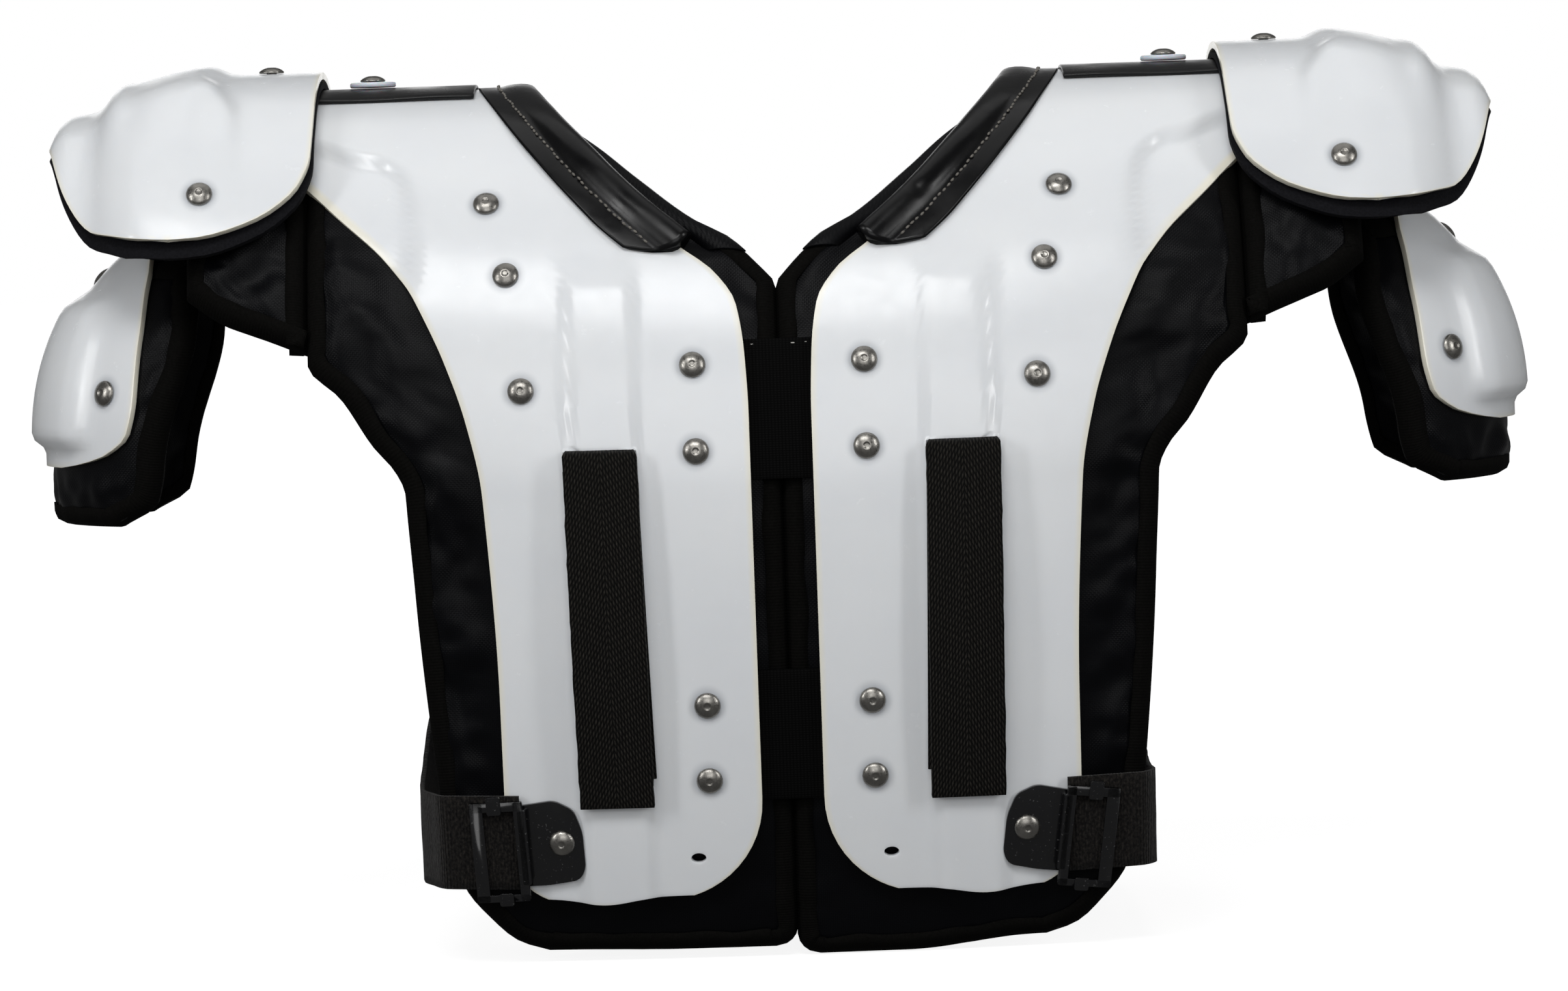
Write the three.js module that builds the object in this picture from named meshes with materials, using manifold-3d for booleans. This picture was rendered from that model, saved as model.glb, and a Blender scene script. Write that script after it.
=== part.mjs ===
// Football shoulder pad: two white moulded arches with black nylon pads, epaulets, cups and straps.
// Millimetres. +X is the wearer's left (the viewer's right), the front faces -Y, +Z is up,
// and z = 0 is the floor that the pads stand on.
import * as THREE from 'three';
import { mergeVertices } from 'three/addons/utils/BufferGeometryUtils.js';
import Module from 'manifold-3d';

const wasm = await Module();
wasm.setup();

// Body form: the outer face of the white arches, seen from the side
const RIDGE_HEIGHT = 372; // floor to the top of the arches
const LEG_HEIGHT = 200; // floor to where the straight legs turn into the arch
const CHEST_DEPTH = 135; // middle of the pad to the front face of the bib
const HEM_TUCK = 32; // how far the legs lean in at the floor
const CHEST_BOW = 7; // how far the bib curves back at its side edge
const ARCH_FACETS = 6; // facets in a quarter of the arch
const LEAST_ROW = 12; // least height of a row of facets between two knots

// Plate: the white arch
const PLATE_WALL = 3;
const PLATE_COLUMNS = [0, 0.22, 0.435, 0.49, 0.64, 0.694, 0.85, 1]; // folds across, both sides of the rib too
const PLATE_HEM = 29; // floor to the bottom edge
const LEG_KNOTS = [0, PLATE_HEM / LEG_HEIGHT, 0.35, 0.6, 0.85]; // folds of the leg, as shares of its height
const CENTRE_EDGE = 13; // middle to the inner edge of the bib
const NECK_EDGE = 110; // middle to the neck edge on the ridge
const BIB_EDGE = 121; // middle to the side edge of the bib
const ARCH_END = 235; // middle to the end of the arch under the epaulet
const INNER_CORNER = 42; // radius of the bottom corner beside the middle
const OUTER_CORNER = 26; // radius of the bottom corner at the side
const BACK_NECK_DROP = 17; // the back neckline is this much lower
const RIB_CENTRE = 74;
const RIB_WIDTH = 28;
const RIB_RISE = 2.5;
const RIB_TOP = 288;

// Gaps and straps
const GAP = 0.3; // clearance between pieces that touch on the real pad
const SOFT_GAP = 1.6; // clearance between a shell with a boss and its lining
const WEBBING = 1.8; // one layer of strap

// Pads
const PAD_THICKNESS = 16;
const PAD_EDGE = 5; // how far the faces of a pad stop short of its edge
const NECK_BAND = 17; // width of the sleeve along the neck edge
const NECK_BAND_LEVEL = 0.815; // where it starts, as a share of the ridge height
const PAD_SIDE = 155; // middle to the side of the pads
const LOBE_SEAM = 197; // middle to the seam between chest and shoulder pad
const LOBE_END = 248; // middle to the end of the shoulder pad

// Epaulet
const SHELL_WALL = 3;
const EPAULET_INNER = 194;
const EPAULET_OUTER = 313;
const LINING = 2.8;
const LINING_SHOW = 5; // how far the lining shows past the epaulet

// Cup, a piece of an ellipsoid
const CUP_CENTRE = new THREE.Vector3(227, 0, 225);
const CUP_REACH = 97; // half axis along X
const CUP_DEPTH = 92; // half axis along Y
const CUP_CROWN = 105; // half axis along Z
const CUP_HEM = 215;
const CUP_TOP = 316;
const CUP_PAD = 14;
const CUP_PAD_HEM = 190;
const CUP_PAD_TOP = 303;

// Rivets
const RIVET_HEAD = 11; // diameter
const RIVET_RISE = 2.6;
const SHANK = 4.4; // diameter
const HOLE_CLEARANCE = 0.4;
const RIVET_SIDES = 6;
const WASHER = 20; // diameter
const WASHER_THICKNESS = 2.2;

// Hanging webbing, its slot and the drain hole
const BELT_WIDTH = 31;
const BELT_CENTRE = 75.5;
const BELT_HEM = 68;
const SLOT_HEIGHT = 217;
const SLOT = 5;
const DRAIN = { x: 40.5, z: 45, width: 6.5, height: 4.5 };

// Buckle and side strap
const BUCKLE = { x: 97.4, z: 53.9, sheet: 1.5 };
const ELASTIC = 40;
// Slide frame of the buckle, measured from its rivet; lift is how far it stands above the riveted plate
const SLIDE = { inner: 15, outer: 38, height: 44, drop: 2, corner: 3, slotStart: 19, slot: 13, lift: 3 };
const RAMP = { start: 14.5, width: 3, height: 36 }; // the bead between the riveted plate and the slide
const SIDE_STRAP_LEVEL = 54; // floor to the middle of the strap
const SIDE_STRAP_RIM = 152; // middle to the strap where it turns the corner of the pads
const SIDE_STRAP_BULGE = { left: 160, right: 154 };
const SIDE_STRAP_SWELL = { depth: 0.6, inside: 2 }; // where the bulge begins: share of depth, millimetres
const BUCKLE_TILT = { left: 2, right: 6 }; // degrees

// Outline of the buckle's riveted plate, measured from its rivet. across: toward the side.
const BUCKLE_OUTLINE = [
  { across: -8, up: -16 },
  { across: 17, up: -18 },
  { across: 17, up: 17 },
  { across: 1, up: 19 },
  { across: -5, up: 15 },
  { across: -9, up: 0 },
  { across: -9, up: -10 },
];

// Bend of the side strap round the pads. inside: short of the rim. back: behind its own face.
const STRAP_BEND = [
  { inside: 6, back: 11 },
  { inside: 0, back: 22 },
];

// Rivets on the bib. across: share of the bib's side edge. level: share of the ridge height.
const BIB_RIVETS = [
  { name: 'shoulder', across: 0.996, level: 0.865 },
  { name: 'upper_chest', across: 0.93, level: 0.7845 },
  { name: 'chest', across: 0.888, level: 0.655 },
  { name: 'strap_1', across: 0.295, level: 0.678 },
  { name: 'strap_2', across: 0.293, level: 0.5825 },
  { name: 'strap_3', across: 0.284, level: 0.2965 },
  { name: 'strap_4', across: 0.286, level: 0.211 },
];
const RIDGE_RIVET = 0.5; // share of the way along the ridge, from the neck edge to the arch's end
// Rivets of the epaulet, as shares of its width
const EPAULET_RIVETS = { front: { across: 0.393, level: 0.868 }, top: { across: 0.19 } };
const CUP_RIVET = { yaw: 41, height: 0.317 }; // share of the cup's height above its hem
const CUP_TOP_RIVET = 0.8; // the same, where the cup hangs from the strap

// Centre straps, their edges as shares of the ridge height
const CENTRE_STRAP_REACH = 46;
const CENTRE_STRAPS = [
  { name: 'upper', bottom: 0.548, top: 0.707 },
  { name: 'lower', bottom: 0.1855, top: 0.333 },
];

// Edges of the plate. level: share of the ridge height. neck: share of the way from the
// centre edge to the neck edge. arm: share of the way from the bib's side to the arch's end.
const PLATE_EDGES = [
  { level: 0, neck: 0, arm: 0 },
  { level: 0.3, neck: 0, arm: 0 },
  { level: 0.54, neck: 0, arm: 0.035 },
  { level: 0.62, neck: 0, arm: 0.085 },
  { level: 0.69, neck: 0.01, arm: 0.16 },
  { level: 0.745, neck: 0.04, arm: 0.24 },
  { level: 0.78, neck: 0.125, arm: 0.3 },
  { level: 0.815, neck: 0.3, arm: 0.385 },
  { level: 0.86, neck: 0.51, arm: 0.54 },
  { level: 0.895, neck: 0.63, arm: 0.66 },
  { level: 0.935, neck: 0.785, arm: 0.81 },
  { level: 0.975, neck: 0.91, arm: 0.93 },
  { level: 1, neck: 1, arm: 1 },
];

// Edges of the chest and back pads. neck: share of the plate's neck edge.
// side: share of the pads' side. arm: share of the way from there to the shoulder seam.
const PAD_EDGES = [
  { level: 0, neck: 0, side: 0.6, arm: 0 },
  { level: 0.04, neck: 0, side: 0.78, arm: 0 },
  { level: 0.081, neck: 0, side: 0.89, arm: 0 },
  { level: 0.14, neck: 0, side: 0.942, arm: 0 },
  { level: 0.19, neck: 0, side: 0.955, arm: 0 },
  { level: 0.43, neck: 0, side: 1, arm: 0 },
  { level: 0.55, neck: 0, side: 1, arm: 0.02 },
  { level: 0.6, neck: 0, side: 1, arm: 0.36 },
  { level: 0.66, neck: 0, side: 1, arm: 0.68 },
  { level: 0.7, neck: 0, side: 1, arm: 1 },
  { level: 0.775, neck: 0, side: 1, arm: 1 },
  { level: 0.8, neck: 0.06, side: 1, arm: 1 },
  { level: 0.83, neck: 0.165, side: 1, arm: 1 },
  { level: 0.85, neck: 0.29, side: 1, arm: 1 },
  { level: 0.9, neck: 0.5, side: 1, arm: 1 },
  { level: 0.95, neck: 0.7, side: 1, arm: 1 },
  { level: 0.975, neck: 0.85, side: 1, arm: 1 },
  { level: 1, neck: 0.96, side: 1, arm: 1 },
];

// Lower edge of the shoulder pad: level where each share of its width begins
const LOBE_HEM = [
  { across: 0, level: 0.71 },
  { across: 0.35, level: 0.735 },
  { across: 1, level: 0.775 },
];

// Outline of the epaulet. inner and outer: shares of its width.
const EPAULET_EDGES = [
  { level: 0.824, inner: 0.43, outer: 0.6 },
  { level: 0.834, inner: 0.31, outer: 0.69 },
  { level: 0.85, inner: 0.16, outer: 0.79 },
  { level: 0.878, inner: 0.04, outer: 0.86 },
  { level: 0.91, inner: 0, outer: 0.91 },
  { level: 0.96, inner: 0, outer: 0.96 },
  { level: 1, inner: 0, outer: 1 },
];

// Crown of the epaulet across its width. rise: share of EPAULET_CROWN above the inner flange.
const EPAULET_CROWN = 4;
const EPAULET_SECTION = [
  { across: 0, rise: 0 },
  { across: 0.3, rise: 0 },
  { across: 0.41, rise: 1 },
  { across: 0.52, rise: 0.6 },
  { across: 0.68, rise: -0.7 },
  { across: 0.77, rise: -2.4 },
  { across: 0.88, rise: -4 },
  { across: 1, rise: -7 },
];

// Front edges of the cup and of its pad: yaw in degrees from straight ahead at each height,
// as a share of the cup's height above its hem
const CUP_EDGE = [
  { height: 0, yaw: 46 },
  { height: 0.08, yaw: 36 },
  { height: 0.3, yaw: 32 },
  { height: 0.8, yaw: 38 },
  { height: 1, yaw: 56 },
];
const CUP_PAD_EDGE = [
  { height: 0, yaw: 38 },
  { height: 0.08, yaw: 30 },
  { height: 0.3, yaw: 25 },
  { height: 0.7, yaw: 17 },
  { height: 1, yaw: 24 },
];
const CUP_YAW_KNOTS = 12; // facets of the cup in half a turn
const CUP_LEVELS = [0.6, 0.84, 1, 1.1, 1.19, 1.27, 1.34, 1.41]; // shares of the centre's height

// Hinge strap beyond the arch: across, and how far it has dropped below the ridge, as shares
// of the way to the top of the cup
const HINGE_HALF_WIDTH = 33;
const HINGE_REACH = 27; // from the end of the arch to where the strap hangs straight down
const HINGE_NARROWING = 0.4; // its width where it meets the cup, as a share
const HINGE_CLEAR = 4; // the strap turns down this far above the top of the cup
const HINGE_TIP_YAW = 8;
const HINGE_DROP = [
  { across: 0.45, drop: 0.08 },
  { across: 0.82, drop: 0.27 },
  { across: 0.97, drop: 0.55 },
  { across: 1, drop: 0.9 },
];

const FINISH = {
  white: { color: 0xdcdde0, roughness: 0.3, metalness: 0 },
  nylon: { color: 0x101114, roughness: 0.75, metalness: 0 },
  vinyl: { color: 0x0b0b0c, roughness: 0.35, metalness: 0 },
  webbing: { color: 0x161616, roughness: 0.9, metalness: 0 },
  elastic: { color: 0x1c1b1b, roughness: 0.95, metalness: 0 },
  enamel: { color: 0x0c0c0d, roughness: 0.3, metalness: 0.4 },
  steel: { color: 0x9a9a98, roughness: 0.35, metalness: 1 },
  washer: { color: 0xd5dde4, roughness: 0.4, metalness: 0 },
};

// Small helpers

const between = (from, to, share) => from + (to - from) * share;
const clamp = (value, low, high) => Math.min(Math.max(value, low), high);
const radians = THREE.MathUtils.degToRad;

/** Reads one column of a table at a value of its key column, straight between the rows. */
function read(table, key, value, column) {
  const next = table.findIndex((row) => row[key] >= value);
  if (next <= 0) {
    return next === 0 ? table[0][column] : table.at(-1)[column];
  }
  const low = table[next - 1];
  const high = table[next];
  return between(low[column], high[column], (value - low[key]) / (high[key] - low[key]));
}

// The body form. A station is a length along the outer face, from the front hem over the
// ridge to the back hem. Every piece on the form bends at the same knots.

/** Depth of the leg's outer face at a height. */
function legDepth(z) {
  const below = Math.max(0, 1 - z / LEG_HEIGHT);
  return CHEST_DEPTH - HEM_TUCK * below * below;
}

/** The knots of the front half: place, the way out of the surface, and the station. */
function frontKnots() {
  const knots = LEG_KNOTS.map((share) => {
    const z = share * LEG_HEIGHT;
    return { y: -legDepth(z), z, outY: -1, outZ: 0 };
  });
  const rise = RIDGE_HEIGHT - LEG_HEIGHT;
  for (let i = 0; i <= ARCH_FACETS; i += 1) {
    const angle = (Math.PI / 2) * (i / ARCH_FACETS);
    const out = new THREE.Vector2(-Math.cos(angle) / CHEST_DEPTH, Math.sin(angle) / rise).normalize();
    const z = LEG_HEIGHT + rise * Math.sin(angle);
    knots.push({ y: -CHEST_DEPTH * Math.cos(angle), z, outY: out.x, outZ: out.y });
  }
  knots[0].station = 0;
  for (let i = 1; i < knots.length; i += 1) {
    const step = Math.hypot(knots[i].y - knots[i - 1].y, knots[i].z - knots[i - 1].z);
    knots[i].station = knots[i - 1].station + step;
  }
  return knots;
}

const FRONT_KNOTS = frontKnots();
const RIDGE = FRONT_KNOTS.at(-1).station;
const KNOTS = [
  ...FRONT_KNOTS,
  ...FRONT_KNOTS.slice(0, -1)
    .reverse()
    .map((knot) => ({ ...knot, y: -knot.y, outY: -knot.outY, station: 2 * RIDGE - knot.station })),
];

/** A point of the form: x across, a station, and a distance out of the plate's outer face. */
function formPoint(x, station, out) {
  const next = clamp(KNOTS.findIndex((knot) => knot.station >= station), 1, KNOTS.length - 1);
  const low = KNOTS[next - 1];
  const high = KNOTS[next];
  const share = (station - low.station) / (high.station - low.station);
  const y = between(low.y + low.outY * out, high.y + high.outY * out, share);
  const z = between(low.z + low.outZ * out, high.z + high.outZ * out, share);
  const straight = clamp((RIDGE - Math.abs(station - RIDGE)) / LEG_HEIGHT, 0, 2);
  const bow = CHEST_BOW * (x / BIB_EDGE) ** 2 * clamp(2 - straight, 0, 1);
  return new THREE.Vector3(x, y + (station < RIDGE ? bow : -bow), z);
}

/** Station of a height on the front half. */
function stationAt(z) {
  const next = clamp(FRONT_KNOTS.findIndex((knot) => knot.z >= z), 1, FRONT_KNOTS.length - 1);
  const low = FRONT_KNOTS[next - 1];
  const high = FRONT_KNOTS[next];
  return between(low.station, high.station, (z - low.z) / (high.z - low.z));
}

/** Height of the outer face at a station, front or back. */
const heightAt = (station) => formPoint(0, station, 0).z;
const stationOfLevel = (level) => stationAt(level * RIDGE_HEIGHT);
const toFront = (station) => RIDGE - Math.abs(station - RIDGE);

/** A table's rows keyed by station, so that edges run straight along the surface. */
const byStation = (table) => table.map((row) => ({ ...row, station: stationOfLevel(row.level) }));

/** Stations from one to another: both ends, each knot between, and the stations given. */
function stationsBetween(from, to, extra = []) {
  const touching = 0.01;
  const knots = KNOTS.map((knot) => knot.station).filter((s) => s > from + touching && s < to - touching);
  const kept = [from, ...knots, to];
  for (const station of extra) {
    if (station > from && station < to && kept.every((other) => Math.abs(other - station) > LEAST_ROW)) {
      kept.push(station);
    }
  }
  return kept.sort((a, b) => a - b);
}

// Solids

/** Turns the faces outward if they point in, and gives the geometry its normals. */
function faceOut(geometry) {
  const index = geometry.index.array;
  const position = geometry.attributes.position;
  const corner = [new THREE.Vector3(), new THREE.Vector3(), new THREE.Vector3()];
  let volume = 0;
  for (let i = 0; i < index.length; i += 3) {
    corner.forEach((point, k) => point.fromBufferAttribute(position, index[i + k]));
    volume += corner[0].dot(corner[1].cross(corner[2]));
  }
  if (volume < 0) {
    for (let i = 0; i < index.length; i += 3) {
      [index[i + 1], index[i + 2]] = [index[i + 2], index[i + 1]];
    }
  }
  geometry.computeVertexNormals();
  return geometry;
}

/** Shares the corners of a geometry, so that it is one closed skin. */
function closed(geometry) {
  geometry.deleteAttribute('normal');
  geometry.deleteAttribute('uv');
  return mergeVertices(geometry, 1e-4);
}

/** A closed sheet: a box with its columns, rows and layers moved to the places given. */
function sheet(columns, rows, layers, place) {
  const geometry = closed(new THREE.BoxGeometry(1, 1, 1, columns, rows, layers));
  const position = geometry.attributes.position;
  for (let i = 0; i < position.count; i += 1) {
    const column = Math.round((position.getX(i) + 0.5) * columns);
    const row = Math.round((position.getY(i) + 0.5) * rows);
    const layer = Math.round((position.getZ(i) + 0.5) * layers);
    position.setXYZ(i, ...place(column, row, layer).toArray());
  }
  return faceOut(geometry);
}

function toManifold(geometry) {
  const vertProperties = new Float32Array(geometry.attributes.position.array);
  const triVerts = new Uint32Array(geometry.index.array);
  return new wasm.Manifold(new wasm.Mesh({ numProp: 3, vertProperties, triVerts }));
}

function toGeometry(manifold) {
  const mesh = manifold.getMesh();
  const geometry = new THREE.BufferGeometry();
  geometry.setAttribute('position', new THREE.BufferAttribute(new Float32Array(mesh.vertProperties), 3));
  geometry.setIndex(new THREE.BufferAttribute(new Uint32Array(mesh.triVerts), 1));
  geometry.computeVertexNormals();
  return geometry;
}

/** Cuts a list of geometries out of one. */
function cut(geometry, cutters) {
  let solid = toManifold(geometry);
  for (const cutter of cutters) {
    solid = solid.subtract(toManifold(cutter));
  }
  return toGeometry(solid);
}

/** Joins a list of geometries. */
function join(geometries) {
  return toGeometry(geometries.map(toManifold).reduce((all, next) => all.add(next)));
}

/** The frame of a small flat patch, lifted off it: +Z out of a surface and +Y up along it. */
function seatOn(surface, lift, side) {
  const reach = 0.5;
  const middle = surface(0, 0);
  const across = surface(reach, 0).sub(surface(-reach, 0));
  const up = surface(0, reach).sub(surface(0, -reach));
  const out = across.clone().cross(up).normalize();
  const seat = new THREE.Matrix4().makeBasis(across.normalize(), out.clone().cross(across), out);
  seat.setPosition(middle.addScaledVector(out, lift));
  return new THREE.Matrix4().makeScale(side, 1, 1).multiply(seat);
}

const seatOnForm = (x, station, lift, side) =>
  seatOn((across, up) => formPoint(x + across, station + up, 0), lift, side);

/** The seat of a row of the bib's rivets. */
const bibSeat = ({ across, level }, lift, side) =>
  seatOnForm(across * BIB_EDGE, stationOfLevel(level), lift, side);
const RIDGE_RIVET_PLACE = between(NECK_EDGE, ARCH_END, RIDGE_RIVET);

/** A geometry modelled with +Z out, moved to a seat. */
function seated(geometry, seat) {
  return faceOut(closed(geometry).applyMatrix4(seat));
}

/** A domed rivet, its head on z = 0 and its shank below. */
function rivet(grip, seat) {
  const radius = RIVET_HEAD / 2;
  const profile = [
    [0, -grip],
    [SHANK / 2, -grip],
    [SHANK / 2, 0],
    [radius, 0],
    [radius * 0.98, RIVET_RISE * 0.3],
    [radius * 0.6, RIVET_RISE * 0.86],
    [0, RIVET_RISE],
  ].map(([x, y]) => new THREE.Vector2(x, y));
  return seated(new THREE.LatheGeometry(profile, RIVET_SIDES).rotateX(Math.PI / 2), seat);
}

/** The hole for a shank, cut this far each way from the seat. */
function shankHole(depth, seat) {
  const radius = SHANK / 2 + HOLE_CLEARANCE;
  return seated(new THREE.CylinderGeometry(radius, radius, 2 * depth, RIVET_SIDES).rotateX(Math.PI / 2), seat);
}

// Edges

const PLATE_TABLE = byStation(PLATE_EDGES);
const PAD_TABLE = byStation(PAD_EDGES);
const EPAULET_TABLE = byStation(EPAULET_EDGES);

/** Station at which the neckline is read: the back one is lower. */
function neckStation(station) {
  if (station <= RIDGE) {
    return station;
  }
  const low = clamp((RIDGE_HEIGHT - heightAt(station)) / (2 * BACK_NECK_DROP), 0, 1);
  return Math.min(toFront(station) + BACK_NECK_DROP * low, RIDGE);
}

/** How far a round corner cuts in, at a height above its bottom. */
function cornerInset(height, radius) {
  const rest = clamp(radius - height, 0, radius);
  return radius - Math.sqrt(radius * radius - rest * rest);
}

/** Inner edge of the plate before its bottom corner is rounded. */
function neckline(station) {
  return between(CENTRE_EDGE, NECK_EDGE, read(PLATE_TABLE, 'station', neckStation(station), 'neck'));
}

function plateEdges(station) {
  const above = heightAt(station) - PLATE_HEM;
  const arm = read(PLATE_TABLE, 'station', toFront(station), 'arm');
  return {
    inner: neckline(station) + cornerInset(above, INNER_CORNER),
    outer: between(BIB_EDGE, ARCH_END, arm) - cornerInset(above, OUTER_CORNER),
  };
}

function padEdges(station) {
  const front = toFront(station);
  return {
    inner: GAP + NECK_EDGE * read(PAD_TABLE, 'station', neckStation(station), 'neck'),
    outer:
      PAD_SIDE * read(PAD_TABLE, 'station', front, 'side') +
      (LOBE_SEAM - PAD_SIDE) * read(PAD_TABLE, 'station', front, 'arm'),
  };
}

/** How far the moulded rib stands out of the plate. */
function ribRise(x, station) {
  const across = 1 - Math.abs(x - RIB_CENTRE) / (RIB_WIDTH / 2);
  const below = (RIB_TOP - heightAt(station)) / RIB_WIDTH;
  const above = (heightAt(station) - PLATE_HEM) / RIB_WIDTH;
  return RIB_RISE * clamp(across * 2.5, 0, 1) * clamp(below, 0, 1) * clamp(above, 0, 1);
}

// The pieces. Each takes the side: 1 for +X, -1 for -X.

function plate(side) {
  const hem = stationAt(PLATE_HEM);
  const corners = [0.1, 0.3, 0.65, 1].map((share) => stationAt(PLATE_HEM + INNER_CORNER * share));
  const front = [...corners, ...PLATE_TABLE.map((row) => row.station)];
  const stations = stationsBetween(hem, 2 * RIDGE - hem, [...front, ...front.map((s) => 2 * RIDGE - s)]);
  const wall = sheet(PLATE_COLUMNS.length - 1, stations.length - 1, 1, (column, row, layer) => {
    const station = stations[row];
    const { inner, outer } = plateEdges(station);
    const x = between(inner, outer, PLATE_COLUMNS[column]);
    const point = formPoint(x, station, (layer - 1) * PLATE_WALL + ribRise(x, station));
    point.x *= side;
    return point;
  });
  const holes = BIB_RIVETS.map((row) => shankHole(PLATE_WALL * 2, bibSeat(row, 0, side)));
  const slot = new THREE.BoxGeometry(BELT_WIDTH + 3, SLOT, PLATE_WALL * 6);
  holes.push(seated(slot, seatOnForm(BELT_CENTRE, stationAt(SLOT_HEIGHT), 0, side)));
  const drain = new THREE.CylinderGeometry(0.5, 0.5, PLATE_WALL * 4, RIVET_SIDES).rotateX(Math.PI / 2);
  drain.scale(DRAIN.width, DRAIN.height, 1);
  holes.push(seated(drain, seatOnForm(DRAIN.x, stationAt(DRAIN.z), 0, side)));
  const buckleSeat = seatOnForm(BUCKLE.x, stationAt(BUCKLE.z), 0, side);
  holes.push(shankHole(PLATE_WALL * 2, buckleSeat));
  holes.push(shankHole(PLATE_WALL * 2, seatOnForm(RIDGE_RIVET_PLACE, RIDGE, 0, side)));
  return cut(wall, holes);
}

const PAD_FACES = {
  front: -(PLATE_WALL + GAP + WEBBING + GAP),
  back: -(PLATE_WALL + GAP + WEBBING + GAP + PAD_THICKNESS),
};

/** The chest pad or the back pad, with its faces drawn in along both sides. */
function bodyPad(side, back) {
  const first = back ? RIDGE + GAP : 0;
  const final = back ? 2 * RIDGE : RIDGE - GAP;
  const rows = PAD_TABLE.map((row) => row.station).map((s) => (back ? 2 * RIDGE - s : s));
  const stations = stationsBetween(first, final, rows);
  const columns = 3;
  return sheet(columns, stations.length - 1, 2, (column, row, layer) => {
    const { inner, outer } = padEdges(stations[row]);
    const drawn = layer === 1 ? 0 : PAD_EDGE;
    const x = between(inner + drawn, outer - drawn, column / columns);
    const point = formPoint(x, stations[row], between(PAD_FACES.back, PAD_FACES.front, layer / 2));
    point.x *= side;
    return point;
  });
}

function shoulderPad(side) {
  const hem = stationOfLevel(LOBE_HEM[0].level);
  const stations = stationsBetween(hem, 2 * RIDGE - hem);
  const last = stations.length - 1;
  const inner = LOBE_SEAM + GAP * 2;
  const columns = 3;
  return sheet(columns, last, 2, (column, row, layer) => {
    const drawn = layer === 1 ? 0 : PAD_EDGE;
    const x = between(inner + drawn, LOBE_END - drawn, column / columns);
    const across = (x - inner) / (LOBE_END - inner);
    const low = stationOfLevel(read(LOBE_HEM, 'across', across, 'level')) + drawn;
    const station = clamp(stations[row], low, 2 * RIDGE - low);
    const out = between(PAD_FACES.back, PAD_FACES.front, layer / 2);
    const point = formPoint(x, row === 0 ? low : row === last ? 2 * RIDGE - low : station, out);
    point.x *= side;
    return point;
  });
}

function neckBand(side) {
  const start = stationOfLevel(NECK_BAND_LEVEL);
  const stations = stationsBetween(start, 2 * RIDGE - start - BACK_NECK_DROP, PAD_TABLE.map((row) => row.station));
  return sheet(1, stations.length - 1, 1, (column, row, layer) => {
    const station = stations[row];
    const out = PAD_FACES.front + GAP + layer * WEBBING;
    const point = formPoint(padEdges(station).inner + 2 * GAP + column * NECK_BAND, station, out);
    point.x *= side;
    return point;
  });
}

/**
 * Section of the collar. across: outward from the plate's neck edge. fixed: the step at the
 * edge, whose width stays the same however steeply the neckline runs.
 */
const COLLAR_SECTION = [
  { across: -7, under: -1.5, top: 1.5, fixed: false },
  { across: -5.5, under: -2.9, top: 4.4, fixed: false },
  { across: -1, under: -2.9, top: 6.2, fixed: true },
  { across: -0.7, under: GAP, top: 6.2, fixed: true },
  { across: 4, under: GAP, top: 5, fixed: false },
  { across: 8, under: GAP, top: 2.3, fixed: false },
  { across: 17, under: GAP, top: 2.3, fixed: false },
];
const COLLAR_LEVEL = 0.818; // where it starts, as a share of the ridge height

/** How much longer a width across the neckline is when measured level. */
function levelWidth(station) {
  const step = 4;
  const slope = (neckline(station + step) - neckline(station - step)) / (2 * step);
  return Math.min(Math.hypot(1, slope), 1.5);
}

function collar(side) {
  const start = stationOfLevel(COLLAR_LEVEL);
  const end = 2 * RIDGE - start + BACK_NECK_DROP;
  const rows = PLATE_TABLE.map((row) => row.station);
  const stations = stationsBetween(start, end, [...rows, ...rows.map((s) => 2 * RIDGE - s)]);
  return sheet(COLLAR_SECTION.length - 1, stations.length - 1, 1, (column, row, layer) => {
    const { across, under, top, fixed } = COLLAR_SECTION[column];
    const station = stations[row];
    const x = neckline(station) + across * (fixed ? 1 : levelWidth(station));
    const point = formPoint(x, station, layer ? top : under);
    point.x *= side;
    return point;
  });
}

/** A point of the epaulet's saddle, out from its own outer face. boss: the share of it that shows. */
function epauletPoint(x, station, out, boss = 1) {
  const across = (x - EPAULET_INNER) / (EPAULET_OUTER - EPAULET_INNER);
  const crown = EPAULET_CROWN * read(EPAULET_SECTION, 'across', clamp(across, 0, 1), 'rise');
  const rise = crown > 0 ? crown * boss : crown;
  const flange = GAP + WEBBING + GAP + LINING + SOFT_GAP + SHELL_WALL;
  return formPoint(x, station, flange + rise + out);
}

/** A saddle over the shoulder, past the epaulet's outline by some margin. */
function saddle(side, shares, outer, inner, margin, boss) {
  const rows = EPAULET_TABLE.map((row) => row.station);
  const start = rows[0] - margin;
  const stations = stationsBetween(start, 2 * RIDGE - start, [...rows, ...rows.map((s) => 2 * RIDGE - s)]);
  const width = EPAULET_OUTER - EPAULET_INNER;
  return sheet(shares.length - 1, stations.length - 1, 1, (column, row, layer) => {
    const front = Math.min(toFront(stations[row]) + margin, RIDGE);
    const from = EPAULET_INNER + width * read(EPAULET_TABLE, 'station', front, 'inner') - margin * 0.4;
    const to = EPAULET_INNER + width * read(EPAULET_TABLE, 'station', front, 'outer');
    const x = between(from, to, shares[column]);
    const point = epauletPoint(x, stations[row], layer ? outer : inner, boss);
    point.x *= side;
    return point;
  });
}

/** A seat on the epaulet, at a share of its width. */
function seatOnEpaulet(share, station, lift, side) {
  const x = between(EPAULET_INNER, EPAULET_OUTER, share);
  return seatOn((across, up) => epauletPoint(x + across, station + up, 0), lift, side);
}

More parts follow.
